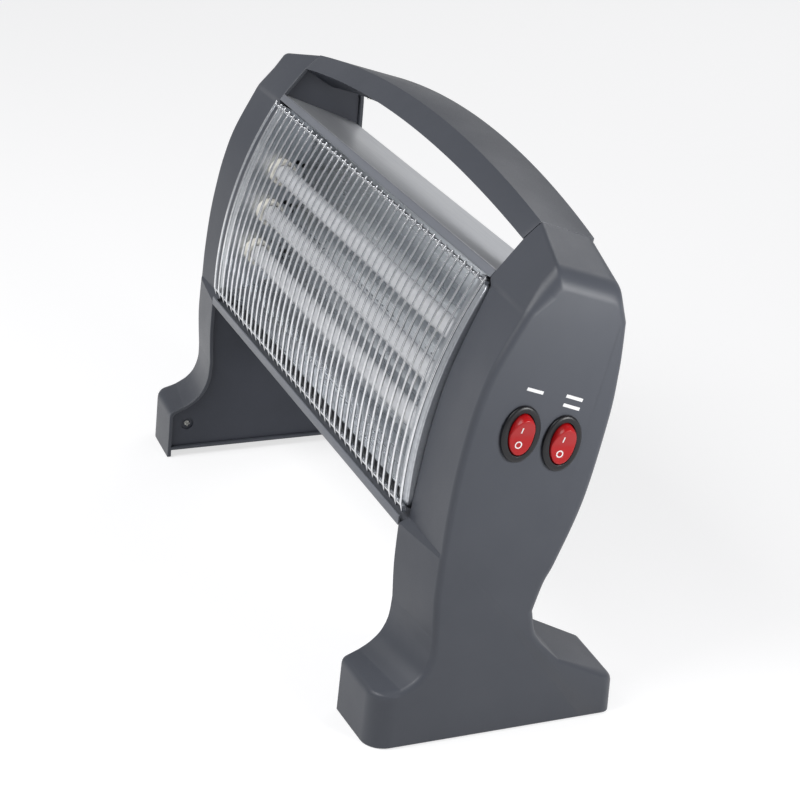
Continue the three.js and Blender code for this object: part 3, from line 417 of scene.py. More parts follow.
def panel_shell(name, side, material):
    deepest = outer_x - panel_wall
    hollow = [
        panel_ring(lambda rounding, turned=turned: deepest - max(rounding - panel_wall, sole_round)
                   * (1 - math.sin(turned)),
                   lambda v, turned=turned: v.wall + max(v.rounding - panel_wall, sole_round)
                   * (1 - math.cos(turned)))
        for turned in reversed(quarter(5))
    ]
    rim = [
        panel_ring(lambda _: inner_x + rim_round, lambda v: v.wall),
        panel_ring(lambda _: inner_x, lambda v: v.wall - rim_round),
        panel_ring(lambda _: inner_x, lambda v: rim_round),
        panel_ring(lambda _: inner_x + rim_round, lambda v: 0),
    ]
    skin = [
        panel_ring(lambda rounding, turned=turned: outer_x - rounding * (1 - math.sin(turned)),
                   lambda v, turned=turned: v.rounding * (1 - math.cos(turned)))
        for turned in quarter(12)
    ]
    points, faces = loft(hollow + rim + skin)
    points = [Vector((mid_x + side * p.x, p.y, p.z)) for p in points]
    return piece(name, points, faces, material, sharp=28)


def sole_relief(side):
    """What is cut from a panel's sole along its inner edge, between its front and back wall."""
    near_y, far_y = front_y + panel_wall, front_y + foot_length - panel_wall
    section = [(near_y, -sole_lift), (far_y, -sole_lift), (far_y, sole_lift), (near_y, sole_lift)]
    ends = (mid_x + side * (inner_x - sole_lift), mid_x + side * (inner_x + sole_lift_width))
    return piece("relief", *loft([[Vector((x, y, z)) for y, z in section] for x in ends]), None)


# The grain of the mouldings: a fine even texture, pressed into the satin surface by the mould, and
# a faint cloudiness under it.
grain_depth = 0.05 * mm
surface_outputs = [("Colour", "Color"), ("Roughness", "Float"), ("Height", "Float")]


def new_group(name, kind, inputs, outputs):
    """A node group, the outputs of its entry and its leaving node, from (name, kind, value)s."""
    group = bpy.data.node_groups.new(name, kind)
    for way, sockets in (("INPUT", inputs), ("OUTPUT", outputs)):
        for title, socket_kind, *value in sockets:
            socket = group.interface.new_socket(
                title, in_out=way, socket_type="NodeSocket" + socket_kind)
            if value:
                socket.default_value = value[0]
    return group, group.nodes.new("NodeGroupInput").outputs, group.nodes.new("NodeGroupOutput")


def noise_in(tree, vector, scale, detail=2.0, roughness=0.5):
    """A noise texture; its scale is the number of features to the metre."""
    return node(tree, "ShaderNodeTexNoise", {
        "Vector": vector, "Scale": scale, "Detail": detail, "Roughness": roughness})["Fac"]


def spread(tree, value, low, high):
    """Maps a noise, which runs from about 0.3 to 0.7, onto a range."""
    return node(tree, "ShaderNodeMapRange", {
        "Value": value, "From Min": 0.3, "From Max": 0.7, "To Min": low, "To Max": high})[0]


moulded_grain, entry, leave = new_group("moulded_grain", "ShaderNodeTree", [
    ("Vector", "Vector"), ("Colour", "Color"), ("Cloud Colour", "Color"),
    ("Roughness", "Float", 0.45), ("Grains per Metre", "Float", 1900.0),
], surface_outputs)
grain = noise_in(moulded_grain, entry["Vector"], entry["Grains per Metre"], 3.0, 0.6)
cloud = noise_in(moulded_grain, entry["Vector"], 22.0, 4.0, 0.6)
unevenness = math_in(moulded_grain, "ADD", spread(moulded_grain, grain, -0.05, 0.05),
                     spread(moulded_grain, cloud, -0.03, 0.03))
fill_inputs(moulded_grain, leave, {
    "Colour": mix_in(moulded_grain, spread(moulded_grain, cloud, 0.0, 1.0), entry["Colour"],
                     entry["Cloud Colour"]),
    "Roughness": math_in(moulded_grain, "ADD", entry["Roughness"], unevenness),
    "Height": grain,
})


def bump_from(tree, height, strength, depth):
    return node(tree, "ShaderNodeBump", {
        "Height": height, "Strength": strength, "Distance": depth})[0]


def surfaced(name, group, values, bump_strength, bump_depth, constants):
    """A material from a surface group that reads Object coordinates."""
    material, tree, shader = new_material(name)
    where = node(tree, "ShaderNodeTexCoord", {})["Object"]
    surface = node(tree, "ShaderNodeGroup", {"Vector": where, **values}, node_tree=group)
    fill_inputs(tree, shader, {
        "Base Color": surface["Colour"], "Roughness": surface["Roughness"],
        "Normal": bump_from(tree, surface["Height"], bump_strength, bump_depth), **constants})
    return material


def moulded(name, base, cloudy, roughness, grains, strength, coat=0.0):
    return surfaced(name, moulded_grain, {
        "Colour": colour(*base), "Cloud Colour": colour(*cloudy), "Roughness": roughness,
        "Grains per Metre": grains,
    }, strength, grain_depth, {
        "Specular IOR Level": 0.35, "Coat Weight": coat, "Coat Roughness": 0.3})


slate_plastic = moulded("slate_plastic", (73, 76, 83), (69, 72, 79), 0.42, 1900.0, 0.35)
right_shell = panel_shell("right_panel", 1, slate_plastic)
left_shell = panel_shell("left_panel", -1, slate_plastic)

switch_lean = math.radians(4)
switch_row_slope = math.radians(17.6)
switch_pitch = 26 * mm
switch_share = (0.464, 0.6525)
bezel_width = 22.3 * mm
bezel_length = 31.9 * mm
body_inset = 1.9 * mm
opening_reach = 6 * mm
inlet_radius = 4.7 * mm
inlet_inside = 12 * mm
inlet_outside = 4 * mm


def around_circle(sides):
    return [2 * math.pi * i / sides for i in range(sides)]


def switch_frame(index):
    """A switch's frame on the outer face: +X outwards, +Y across the rocker, +Z along it."""
    at = on_panel(switch_share) + Vector((
        math.cos(switch_row_slope), -math.sin(switch_row_slope))) * index * switch_pitch
    return (Matrix.Translation((mid_x + outer_x, at.x, at.y))
            @ Matrix.Rotation(-switch_lean, 4, "X"))


def oval(x, width, length):
    return [Vector((x, width / 2 * math.cos(t), length / 2 * math.sin(t)))
            for t in around_circle(72)]


def round_bar(name, radius, start, end, material, sides=32):
    """A closed round bar between two points."""
    turned = (Vector(end) - Vector(start)).to_track_quat("Z", "Y").to_matrix()
    rings = [
        [Vector(base) + turned @ Vector((radius * math.cos(t), radius * math.sin(t), 0))
         for t in around_circle(sides)]
        for base in (start, end)
    ]
    return piece(name, *loft(rings), material)


def fitted(made, slot_name, *replaced, body="heater"):
    """Puts a piece on the body it rides on and hides the nodes it stands for; slot_name is not
    used.
    """
    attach(made, body)
    if replaced:
        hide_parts(*replaced)


openings = []
for index in (0, 1):
    width = bezel_width - 2 * (body_inset - seat_gap)
    length = bezel_length - 2 * (body_inset - seat_gap)
    opening = piece("opening", *loft([oval(x, width, length)
                                      for x in (-opening_reach, opening_reach)]), None)
    opening.data.transform(switch_frame(index))
    openings.append(opening)
bush_low, bush_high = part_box("cord_bush")
bush_middle = (bush_low + bush_high) / 2
inlet_ends = [(bush_middle.x, bush_high.y + shift, bush_middle.z)
              for shift in (-inlet_inside, inlet_outside)]
openings.append(round_bar("inlet", inlet_radius + seat_gap, *inlet_ends, None))
cut_from(right_shell, openings + [sole_relief(1)])
cut_from(left_shell, [sole_relief(-1)])
fitted(right_shell, "panel", "right_side_shell")
fitted(left_shell, "panel", "left_side_shell")


# Inner covers: a flat dark plate closes each panel from the inside, set back in its rim and held
# by three screws in shallow round recesses.
def dressed(names, material):
    """Gives nodes that keep their own shape their finish."""
    for name in names:
        nodes[name].data.materials.clear()
        nodes[name].data.materials.append(material)


cover_plastic = moulded("cover_plastic", (62, 65, 74), (57, 60, 68), 0.5, 1500.0, 0.4)
dressed(["right_inner_cover", "left_inner_cover"], cover_plastic)


# Screws: zinc plated, with a cross recess, three in each inner cover and two up through the
# handle's underside.
blade_length = 3.6 * mm
blade_width = 0.75 * mm
blade_depth = 1.3 * mm
streak_depth = 0.02 * mm


def tree_of(name, inputs):
    """A geometry tree with named inputs and one geometry output."""
    shape = ("Geometry", "Geometry")
    return new_group(name, "GeometryNodeTree", [shape] + inputs, [shape])


def joined(tree, shapes):
    made = tree.nodes.new("GeometryNodeJoinGeometry")
    for shape in shapes:
        tree.links.new(shape, made.inputs[0])
    return made.outputs[0]


def moved(tree, shape, axis, distance, **turn):
    by = node(tree, "ShaderNodeCombineXYZ", {axis: distance})[0]
    return node(tree, "GeometryNodeTransform", {"Geometry": shape, "Translation": by, **turn})[0]


def copies_out(tree, entry, leave, points, shape, **turn):
    """Ends a tree with copies of a shape on points, made real, in the tree's material."""
    copies = node(tree, "GeometryNodeInstanceOnPoints", {
        "Points": points, "Instance": shape, **turn})
    real = node(tree, "GeometryNodeRealizeInstances", {0: copies[0]})
    given = node(tree, "GeometryNodeSetMaterial", {
        "Geometry": real[0], "Material": entry["Material"]})
    fill_inputs(tree, leave, {0: given[0]})


def with_tree(name, tree, points, edges, values, sharp):
    """A mesh of points and edges run through a geometry tree, as a plain mesh piece."""
    mesh = bpy.data.meshes.new(name)
    mesh.from_pydata([tuple(point) for point in points], edges, [])
    made = in_scene(name, mesh)
    step = made.modifiers.new("made", "NODES")
    step.node_group = tree
    for item in tree.interface.items_tree:
        if item.item_type == "SOCKET" and item.in_out == "INPUT" and item.name in values:
            step[item.identifier] = values[item.name]
    return finished(made, sharp)


screw_tree, entry, leave = tree_of("cross_head_screws", [
    ("Head Radius", "Float", 3 * mm), ("Head Height", "Float", 1.2 * mm),
    ("Shank Radius", "Float", 1.7 * mm), ("Shank Length", "Float", 10 * mm),
    ("Rotation", "Vector"), ("Material", "Material"),
])
head = node(screw_tree, "GeometryNodeMeshCylinder", {
    "Vertices": 28, "Radius": entry["Head Radius"], "Depth": entry["Head Height"]})
head_middle = math_in(screw_tree, "MULTIPLY", entry["Head Height"], -0.5)
blades = joined(screw_tree, [
    node(screw_tree, "GeometryNodeMeshCube", {"Size": (*across, blade_depth)})["Mesh"]
    for across in ((blade_length, blade_width), (blade_width, blade_length))
])
crossed = node(screw_tree, "GeometryNodeMeshBoolean", {
    "Mesh 1": moved(screw_tree, head["Mesh"], "Z", head_middle), "Mesh 2": blades,
}, operation="DIFFERENCE")
shank = node(screw_tree, "GeometryNodeMeshCylinder", {
    "Vertices": 16, "Radius": entry["Shank Radius"], "Depth": entry["Shank Length"]})
shank_middle = math_in(
    screw_tree, "SUBTRACT", math_in(screw_tree, "MULTIPLY", entry["Shank Length"], -0.5),
    entry["Head Height"])
screw = joined(screw_tree, [
    crossed["Mesh"], moved(screw_tree, shank["Mesh"], "Z", shank_middle)])
turned = node(screw_tree, "FunctionNodeEulerToRotation", {0: entry["Rotation"]})
copies_out(screw_tree, entry, leave, entry["Geometry"], screw, Rotation=turned[0])

rolled_metal, entry, leave = new_group("rolled_metal", "ShaderNodeTree", [
    ("Vector", "Vector"), ("Colour", "Color"), ("Dull Colour", "Color"),
    ("Roughness", "Float", 0.3), ("Streaks per Metre", "Float", 900.0), ("Stretch", "Float", 0.03),
], surface_outputs)
squeeze = node(rolled_metal, "ShaderNodeCombineXYZ", {"X": entry["Stretch"], "Y": 1.0, "Z": 1.0})
along = node(rolled_metal, "ShaderNodeVectorMath", {0: entry["Vector"], 1: squeeze[0]},
             operation="MULTIPLY")
streak = noise_in(rolled_metal, along[0], entry["Streaks per Metre"], 3.0, 0.6)
smudge = noise_in(rolled_metal, entry["Vector"], 35.0, 3.0, 0.55)
mark = math_in(rolled_metal, "MULTIPLY", spread(rolled_metal, streak, 0.0, 1.0),
               spread(rolled_metal, smudge, 0.35, 1.0))
fill_inputs(rolled_metal, leave, {
    "Colour": mix_in(rolled_metal, mark, entry["Colour"], entry["Dull Colour"]),
    "Roughness": math_in(rolled_metal, "ADD", entry["Roughness"],
                         spread(rolled_metal, streak, -0.06, 0.06)),
    "Height": streak,
})


def rolled(name, base, dull, roughness, streaks, stretch, strength, metallic=1.0):
    return surfaced(name, rolled_metal, {
        "Colour": colour(*base), "Dull Colour": colour(*dull), "Roughness": roughness,
        "Streaks per Metre": streaks, "Stretch": stretch,
    }, strength, streak_depth, {"Metallic": metallic})


zinc_plate = rolled("zinc_plate", (214, 214, 210), (186, 186, 182), 0.34, 700.0, 1.0, 0.2, 0.5)


def screws(name, names, toward, rotation):
    """Screws in place of like nodes; toward is the direction in which their heads look."""
    tops = []
    for node_name in names:
        low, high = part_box(node_name)
        middle = (low + high) / 2
        for axis in range(3):
            if toward[axis]:
                middle[axis] = high[axis] if toward[axis] > 0 else low[axis]
        tops.append(middle)
    made = with_tree(name, screw_tree, tops, [], {
        "Rotation": rotation, "Material": zinc_plate}, sharp=30)
    fitted(made, "screw", *names)


for side_name, toward in (("right", -1), ("left", 1)):
    screws(side_name + "_cover_screws",
           [side_name + "_cover_screw_" + spot for spot in ("toe", "heel", "back")],
           (toward, 0, 0), (0.0, toward * math.pi / 2, 0.0))
screws("handle_screws", ["handle_screw_left", "handle_screw_right"],
       (0, 0, -1), (math.pi, 0.0, 0.0))


# Handle: a hollow arched bar of the panels' plastic with crisp edges, between the tops of the two
# panels, and a darker two-sided belly that closes it from below.
grip_rise = 14.3 * mm
grip_back_rise = 18.6 * mm
grip_crease_shift = 3 * mm
grip_wall = 2.5 * mm
grip_lip = 4 * mm
grip_back_height = 8 * mm
grip_belly = 8 * mm
grip_stations = 72
grip_edge = 0.7 * mm
belly_edge = 0.3 * mm
sink_radius = 3.3 * mm
sink_depth = 1.5 * mm
sink_clear = 1 * mm


def folded(line, thickness):
    """The profile of a folded sheet, given its thickness to the right of its run."""
    normals = []
    for a, b in zip(line, line[1:]):
        along = (b - a).normalized()
        normals.append(Vector((along.y, -along.x)))
    far = []
    for i, point in enumerate(line):
        a, b = normals[max(i - 1, 0)], normals[min(i, len(normals) - 1)]
        middle = (a + b).normalized()
        far.append(point + middle * (thickness / middle.dot(a)))
    return line + far[::-1]


def grip_section(x):
    """The handle's shell and belly outlines where they cross X, in Y and Z."""
    arch = 1 - (x / inner_x) ** 2
    edge = inner_start("crest") + Vector((0, grip_rise)) * arch
    crease = inner_start("top") + Vector((grip_crease_shift, grip_rise)) * arch
    rear = inner_start("rear") + Vector((grip_crease_shift, grip_back_rise)) * arch
    heel = rear + Vector((-grip_wall / 2, -grip_back_height))
    belly = (edge + heel) / 2 - Vector((0, grip_belly))
    front_lip = edge + (belly - edge).normalized() * grip_lip
    back_lip = heel + (belly - heel).normalized() * grip_lip
    below = folded([
        back_lip + (belly - back_lip).normalized() * seat_gap,
        belly,
        front_lip + (belly - front_lip).normalized() * seat_gap,
    ], grip_wall)
    return folded([front_lip, edge, crease, rear, heel, back_lip], grip_wall), below


def bevelled(made, width, segments=2):
    """Rounds a piece's edges."""
    step = made.modifiers.new("edges", "BEVEL")
    step.width = width
    step.segments = segments
    step.limit_method = "ANGLE"
    step.angle_limit = math.radians(20)
    return finished(made)


def handle_part(name, which, material, edge):
    """The handle's shell or its belly, from panel to panel."""
    reach = inner_x - seat_gap
    rings = []
    for i in range(grip_stations + 1):
        x = -reach + 2 * reach * i / grip_stations
        rings.append([Vector((mid_x + x, p.x, p.y)) for p in grip_section(x)[which]])
    return bevelled(piece(name, *loft(rings), material), edge, 3)


def screw_sink(screw_node):
    """What is cut from the belly so that a screw's head lies flush in it."""
    low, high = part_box(screw_node)
    x, y = (low.x + high.x) / 2, (low.y + high.y) / 2
    return round_bar("sink", sink_radius, (x, y, low.z - sink_clear),
                     (x, y, low.z + sink_depth), None)


grip = handle_part("handle_bar", 0, slate_plastic, grip_edge)
belly = handle_part("handle_underside", 1, cover_plastic, belly_edge)
cut_from(belly, [screw_sink("handle_screw_left"), screw_sink("handle_screw_right")])
fitted(grip, "panel", "handle_grip")
fitted(belly, "cover", "handle_belly")


# Rails: two folded steel strips painted in the panels' grey, which run from panel to panel, one
# over and one under the guard.
rail_edge = 0.3 * mm


def rounded_copy(name, cad_node, material, slot_name, width):
    """A copy of a node with its flat faces made whole and its edges rounded."""
    mesh = nodes[cad_node].data.copy()
    mesh.name = name
    work = bmesh.new()
    work.from_mesh(mesh)
    bmesh.ops.remove_doubles(work, verts=work.verts, dist=1e-6)
    bmesh.ops.dissolve_limit(
        work, angle_limit=math.radians(0.5), verts=work.verts, edges=work.edges)
    work.to_mesh(mesh)
    work.free()
    mesh.materials.clear()
    mesh.materials.append(material)
    made = bevelled(in_scene(name, mesh), width)
    fitted(made, slot_name, cad_node)
    return made


rail_paint = moulded("rail_paint", (116, 119, 126), (110, 113, 120), 0.38, 900.0, 0.2)
rounded_copy("upper_rail", "top_rail", rail_paint, "rail", rail_edge)
rounded_copy("lower_rail", "bottom_rail", rail_paint, "rail", rail_edge)


# Housing sheets: a bright rolled sheet slopes back under the handle, and zinc-coated sheets close
# the back, which has rows of cooling slots, and the floor.
sheet_edge = 0.25 * mm
back_edge = 0.15 * mm
bright_sheet = rolled("bright_sheet", (205, 207, 210), (197, 199, 203), 0.38, 800.0, 0.03, 0.02,
                      0.6)
zinc_sheet = rolled("zinc_sheet", (172, 175, 178), (140, 143, 147), 0.45, 90.0, 0.8, 0.1)
rounded_copy("sloping_sheet", "top_sheet", bright_sheet, "top_sheet", sheet_edge)
rounded_copy("slotted_back", "back_sheet", zinc_sheet, "plain_sheet", back_edge)
rounded_copy("housing_floor", "base_sheet", zinc_sheet, "plain_sheet", sheet_edge)


# Guard: bright plated wires bowed to the front, hooked back at the foot, welded to two rods that
# run across behind them.
wire_radius = 0.8 * mm
rod_radius = 1.2 * mm
wire_pitch = 8.2 * mm
wire_count = 40
wire_steps = 28
guard_bulge = 9.6 * mm
rod_inset = 1.8 * mm
rail_face = 5.6 * mm
rail_drop = 1.6 * mm
rail_setback = 0.2 * mm
foot_clearance = 2.4 * mm
head_clearance = 0.6 * mm
foot_hook = [(3.2 * mm, 0.4 * mm), (1.2 * mm, 0.1 * mm)]
plate_inset = 11 * mm
end_plate_x = inner_x - plate_inset
flange_width = 10.7 * mm


def front_arc(start, end, bulge):
    """Centre, radius and end angles of the arc between two places that bulges to the front."""
    chord = end - start
    half = chord.length / 2
    radius = (half * half + bulge * bulge) / (2 * bulge)
    backwards = Vector((chord.y, -chord.x)).normalized()
    centre = (start + end) / 2 + backwards * (radius - bulge)
    angles = [math.atan2(p.y - centre.y, centre.x - p.x) for p in (start, end)]
    return centre, radius, angles[0], angles[1]


def on_arc(arc, radius, share):
    angle = arc[2] + (arc[3] - arc[2]) * share
    return Vector((arc[0].x - radius * math.cos(angle), arc[0].y + radius * math.sin(angle)))


lower_corner = inner_start("ledge") - Vector((rail_setback, rail_drop))
upper_corner = inner_start("brow")
arc_foot = lower_corner + Vector((wire_radius + seat_gap, rail_face + foot_clearance))
arc_head = upper_corner - Vector((2 * wire_radius, head_clearance))
arc = front_arc(arc_foot, arc_head, guard_bulge)
wire_line = [arc_foot + Vector(shift) for shift in foot_hook]
wire_line += [on_arc(arc, arc[1], i / wire_steps) for i in range(1, wire_steps + 1)]


def round_wire(tree, line, radius, sides):
    section = node(tree, "GeometryNodeCurvePrimitiveCircle", {
        "Resolution": sides, "Radius": radius})
    return node(tree, "GeometryNodeCurveToMesh", {
        "Curve": line, "Profile Curve": section[0], "Fill Caps": True})[0]


guard_tree, entry, leave = tree_of("guard_wires", [
    ("Wire Radius", "Float", wire_radius), ("Pitch", "Float", wire_pitch),
    ("Count", "Int", wire_count), ("Material", "Material"),
])
line = node(guard_tree, "GeometryNodeMeshToCurve", {0: entry["Geometry"]})[0]
wire = round_wire(guard_tree, line, entry["Wire Radius"], 10)
gaps = math_in(guard_tree, "SUBTRACT", entry["Count"], 1.0)
span = math_in(guard_tree, "MULTIPLY", gaps, entry["Pitch"])
first_x = math_in(guard_tree, "MULTIPLY", span, -0.5)
row = node(guard_tree, "GeometryNodeMeshLine", {
    "Count": entry["Count"],
    "Start Location": node(guard_tree, "ShaderNodeCombineXYZ", {"X": first_x})[0],
    "Offset": node(guard_tree, "ShaderNodeCombineXYZ", {"X": entry["Pitch"]})[0]})
copies_out(guard_tree, entry, leave, row[0], wire)

plated_wire = rolled("plated_wire", (232, 233, 235), (205, 207, 210), 0.12, 260.0, 1.0, 0.05)
guard_points = [Vector((mid_x, p.x, p.y)) for p in wire_line]
guard = with_tree("guard_wires", guard_tree, guard_points,
                  [(i, i + 1) for i in range(len(guard_points) - 1)],
                  {"Material": plated_wire}, sharp=60)
fitted(guard, "guard", "wire_guard")
rod_reach = end_plate_x + flange_width
rod_share = 2 * rod_radius / arc[1] / (arc[3] - arc[2])
for name, share in (("guard_rod_low", rod_share), ("guard_rod_high", 1 - rod_share)):
    at = on_arc(arc, arc[1] - rod_inset, share)
    fitted(round_bar(name, rod_radius, (mid_x - rod_reach, at.x, at.y),
                     (mid_x + rod_reach, at.x, at.y), plated_wire, 16), "guard")


# Reflector: one polished aluminium sheet folded behind the tubes, with a row of short slots
# between two of its folds.
reflector_shares = [(0.483, 0.877), (0.573, 0.85), (0.58, 0.79), (0.523, 0.68), (0.473, 0.53),
                    (0.4, 0.465), (0.235, 0.443)]
slot_pitch = 8.2 * mm
slot_length = 3.4 * mm
slot_height = 0.9 * mm
slot_count = 35
slot_share = 0.39
slot_reach = 3 * mm
reflector_edge = 0.2 * mm
polished_sheet = rolled("polished_sheet", (204, 208, 212), (182, 186, 191), 0.3, 500.0, 0.05, 0.12,
                        0.95)
reflector = rounded_copy("reflector_sheet", "reflector", polished_sheet, "reflector",
                         reflector_edge)
upper_fold, lower_fold = on_panel(reflector_shares[3]), on_panel(reflector_shares[4])
slot_at = upper_fold.lerp(lower_fold, slot_share)
slots = []
for number in range(slot_count):
    middle = mid_x + (number - (slot_count - 1) / 2) * slot_pitch
    slot = round_bar("slot", slot_height / 2, (middle, slot_at.x - slot_reach, slot_at.y),
                     (middle, slot_at.x + slot_reach, slot_at.y), None, 12)
    slot.data.transform(
        Matrix.Translation((middle, 0, 0))
        @ Matrix.Diagonal((slot_length / slot_height, 1, 1, 1))
        @ Matrix.Translation((-middle, 0, 0)))
    slots.append(slot)
cut_from(reflector, slots)


# End plates: bright steel plates close the reflector's ends. Each has arcs of small vent holes
# round the tube caps, and a flange along its front that turns back beside the panel.
tube_pitch = 28 * mm
tube_top_share = (0.437, 0.739)
cap_neck_radius = 5.5 * mm
vent_radius = 1.6 * mm
vent_ring = 9.5 * mm
vent_centre = Vector((9.5 * mm, -4.5 * mm))
vent_angles = [math.radians(-45 + 30 * step) for step in range(5)]
plate_sheet = 1 * mm
plate_behind = 2 * mm
plate_foot = 14.2 * mm
base_sheet = 1.2 * mm
flange_sheet = 0.8 * mm
flange_corner = 6 * mm
flange_fold = 1 * mm
flange_lip = 2 * mm
flange_depth = 10 * mm
flange_steps = 48
front_steps = 20
front_radius = arc[1] - rod_inset - rod_radius - seat_gap
lean = (inner_start("lintel") - inner_start("window")).normalized()
tube_places = [on_panel(tube_top_share) - lean * index * tube_pitch for index in range(3)]
end_plate_steel = rolled("end_plate_steel", (200, 203, 207), (176, 179, 184), 0.34, 420.0, 1.0,
                         0.2)


def circle(centre, radius, sides):
    return [centre + radius * Vector((math.cos(t), math.sin(t))) for t in around_circle(sides)]


def flat_sheet(name, outlines, x_from, x_to, material):
    """A flat plate across X, from its outline and its holes in Y and Z."""
    curve = bpy.data.curves.new(name, "CURVE")
    curve.dimensions = "2D"
    curve.fill_mode = "BOTH"
    curve.extrude = abs(x_to - x_from) / 2
    for ring in outlines:
        spline = curve.splines.new("POLY")
        spline.points.add(len(ring) - 1)
        for spot, target in zip(ring, spline.points):
            target.co = (spot.x, spot.y, 0, 1)
        spline.use_cyclic_u = True
    flat = in_scene(name, curve)
    deps = bpy.context.evaluated_depsgraph_get()
    mesh = bpy.data.meshes.new_from_object(flat.evaluated_get(deps), depsgraph=deps)
    bpy.data.objects.remove(flat)
    mesh.transform(Matrix(((0, 0, 1, (x_from + x_to) / 2), (1, 0, 0, 0), (0, 1, 0, 0),
                           (0, 0, 0, 1))))
    return piece(name, [v.co.copy() for v in mesh.vertices],
                 [tuple(face.vertices) for face in mesh.polygons], material)


def vented_plate(name, side):
    front = [on_arc(arc, front_radius, i / front_steps) for i in range(front_steps + 1)]
    back = [on_panel(share) + Vector((plate_behind, 0)) for share in reflector_shares[:-1]]
    floor_z = lower_corner.y + base_sheet + seat_gap
    foot = [Vector((back[-1].x, floor_z)), Vector((lower_corner.x + plate_foot, floor_z))]
    outlines = [front + back + foot]
    outlines += [circle(at, cap_neck_radius + seat_gap, 32) for at in tube_places]
    for at in tube_places:
        for angle in vent_angles:
            on_ring = vent_centre + vent_ring * Vector((math.cos(angle), math.sin(angle)))
            outlines.append(circle(at + on_ring, vent_radius, 16))
    return flat_sheet(name, outlines, mid_x + side * end_plate_x,
                      mid_x + side * (end_plate_x + plate_sheet), end_plate_steel)


def flange(name, side):
    """A strip across a plate's front that turns back at its outer edge, its corners rounded."""
    length = front_radius * abs(arc[3] - arc[2])
    rings = []
    for i in range(flange_steps + 1):
        share = i / flange_steps
        to_end = max(flange_corner - min(share, 1 - share) * length, 0)
        cut = flange_corner - math.sqrt(flange_corner ** 2 - to_end ** 2)
        fold_x = end_plate_x + flange_width - cut - flange_fold
        path = [(end_plate_x + plate_sheet / 2, 0.0)]
        path += [(fold_x + flange_fold * math.sin(turned), flange_fold * (1 - math.cos(turned)))
                 for turned in quarter(4)]
        path.append((fold_x + flange_fold, flange_lip + flange_depth * (1 - cut / flange_corner)))
        rings.append([
            Vector((mid_x + side * p.x, *on_arc(arc, front_radius - p.y, share)))
            for p in folded([Vector(spot) for spot in path], -flange_sheet)
        ])
    return piece(name, *loft(rings), end_plate_steel, sharp=40)


for side_name, side in (("right", 1), ("left", -1)):
    fitted(vented_plate("vented_plate_" + side_name, side), "end_plate", "end_plate_" + side_name)
    fitted(flange("vented_plate_" + side_name + "_flange", side), "end_plate")


# Quartz tubes: milky quartz, open at both ends, with the heating wire wound inside them and
# ceramic caps that carry them in the end plates.
tube_radius = 6 * mm
tube_wall = 1.2 * mm
tube_lip = 0.3 * mm
cap_length = 8 * mm
cap_socket = 6.5 * mm
cap_radius = 8.5 * mm
cap_neck_length = 6 * mm
cap_bore = 1.2 * mm
cap_edge = 0.6 * mm
cap_face = end_plate_x - seat_gap
socket_x = cap_face - cap_length + cap_socket
coil_end_gap = 1 * mm
coil_reach = socket_x - coil_end_gap
quartz_ripple = 0.1 * mm


def turned_piece(name, profile, at, material, sides=48, side=1):
    """A ring turned about an axis across the heater; its closed profile is (radius, x) pairs."""
    rings = [
        [Vector((mid_x + side * x, at.x + r * math.cos(t), at.y + r * math.sin(t)))
         for r, x in profile]
        for t in around_circle(sides)
    ]
    return piece(name, *loft(rings, closed=True), material)


milky_quartz, tree, shader = new_material("milky_quartz")
where = node(tree, "ShaderNodeTexCoord", {})["Object"]
# Painted shade: the heating wire's turns inside the tube show as faint darker bands painted along
# each opaque tube, mixed with a milky cloudiness. The same bands also give a small ripple bump.
painted_coil_shade = node(tree, "ShaderNodeTexWave", {
    "Vector": where, "Scale": 260.0, "Distortion": 0.6, "Detail": 1.0,
}, wave_type="BANDS", bands_direction="X")["Fac"]
cloudy = noise_in(tree, where, 120.0, 3.0)
painted_coil_shade_and_cloud = math_in(tree, "MULTIPLY", painted_coil_shade, spread(tree, cloudy, 0.5, 1.0))
fill_inputs(tree, shader, {
    "Base Color": mix_in(tree, painted_coil_shade_and_cloud, colour(214, 215, 218), colour(190, 192, 196)),
    "Roughness": spread(tree, cloudy, 0.16, 0.28),
    "Coat Weight": 0.5, "Coat Roughness": 0.05,
    "Normal": bump_from(tree, painted_coil_shade, 0.15, quartz_ripple),
})
raw_ceramic = moulded("raw_ceramic", (240, 237, 228), (226, 221, 210), 0.6, 1200.0, 0.5)

coil_tree, entry, leave = tree_of("wound_wire", [
    ("Wire Radius", "Float", 0.28 * mm), ("Coil Radius", "Float", 4.1 * mm),
    ("Length", "Float", 0.29), ("Turns", "Float", 150.0), ("Start", "Float", -0.145),
    ("Material", "Material"),
])
helix = node(coil_tree, "GeometryNodeCurveSpiral", {
    "Resolution": 12, "Rotations": entry["Turns"], "Start Radius": entry["Coil Radius"],
    "End Radius": entry["Coil Radius"], "Height": entry["Length"]})
wound = round_wire(coil_tree, helix[0], entry["Wire Radius"], 4)
laid = moved(coil_tree, wound, "X", entry["Start"], Rotation=(0.0, math.pi / 2, 0.0))
copies_out(coil_tree, entry, leave, entry["Geometry"], laid)

resistance_wire = rolled("resistance_wire", (120, 114, 108), (84, 79, 74), 0.5, 600.0, 1.0, 0.2)
coils = with_tree("heating_coils", coil_tree,
                  [Vector((mid_x, at.x, at.y)) for at in tube_places], [],
                  {"Length": 2 * coil_reach, "Start": -coil_reach, "Material": resistance_wire},
                  sharp=60)
fitted(coils, "heating_wire", "heating_coil_1", "heating_coil_2", "heating_coil_3")

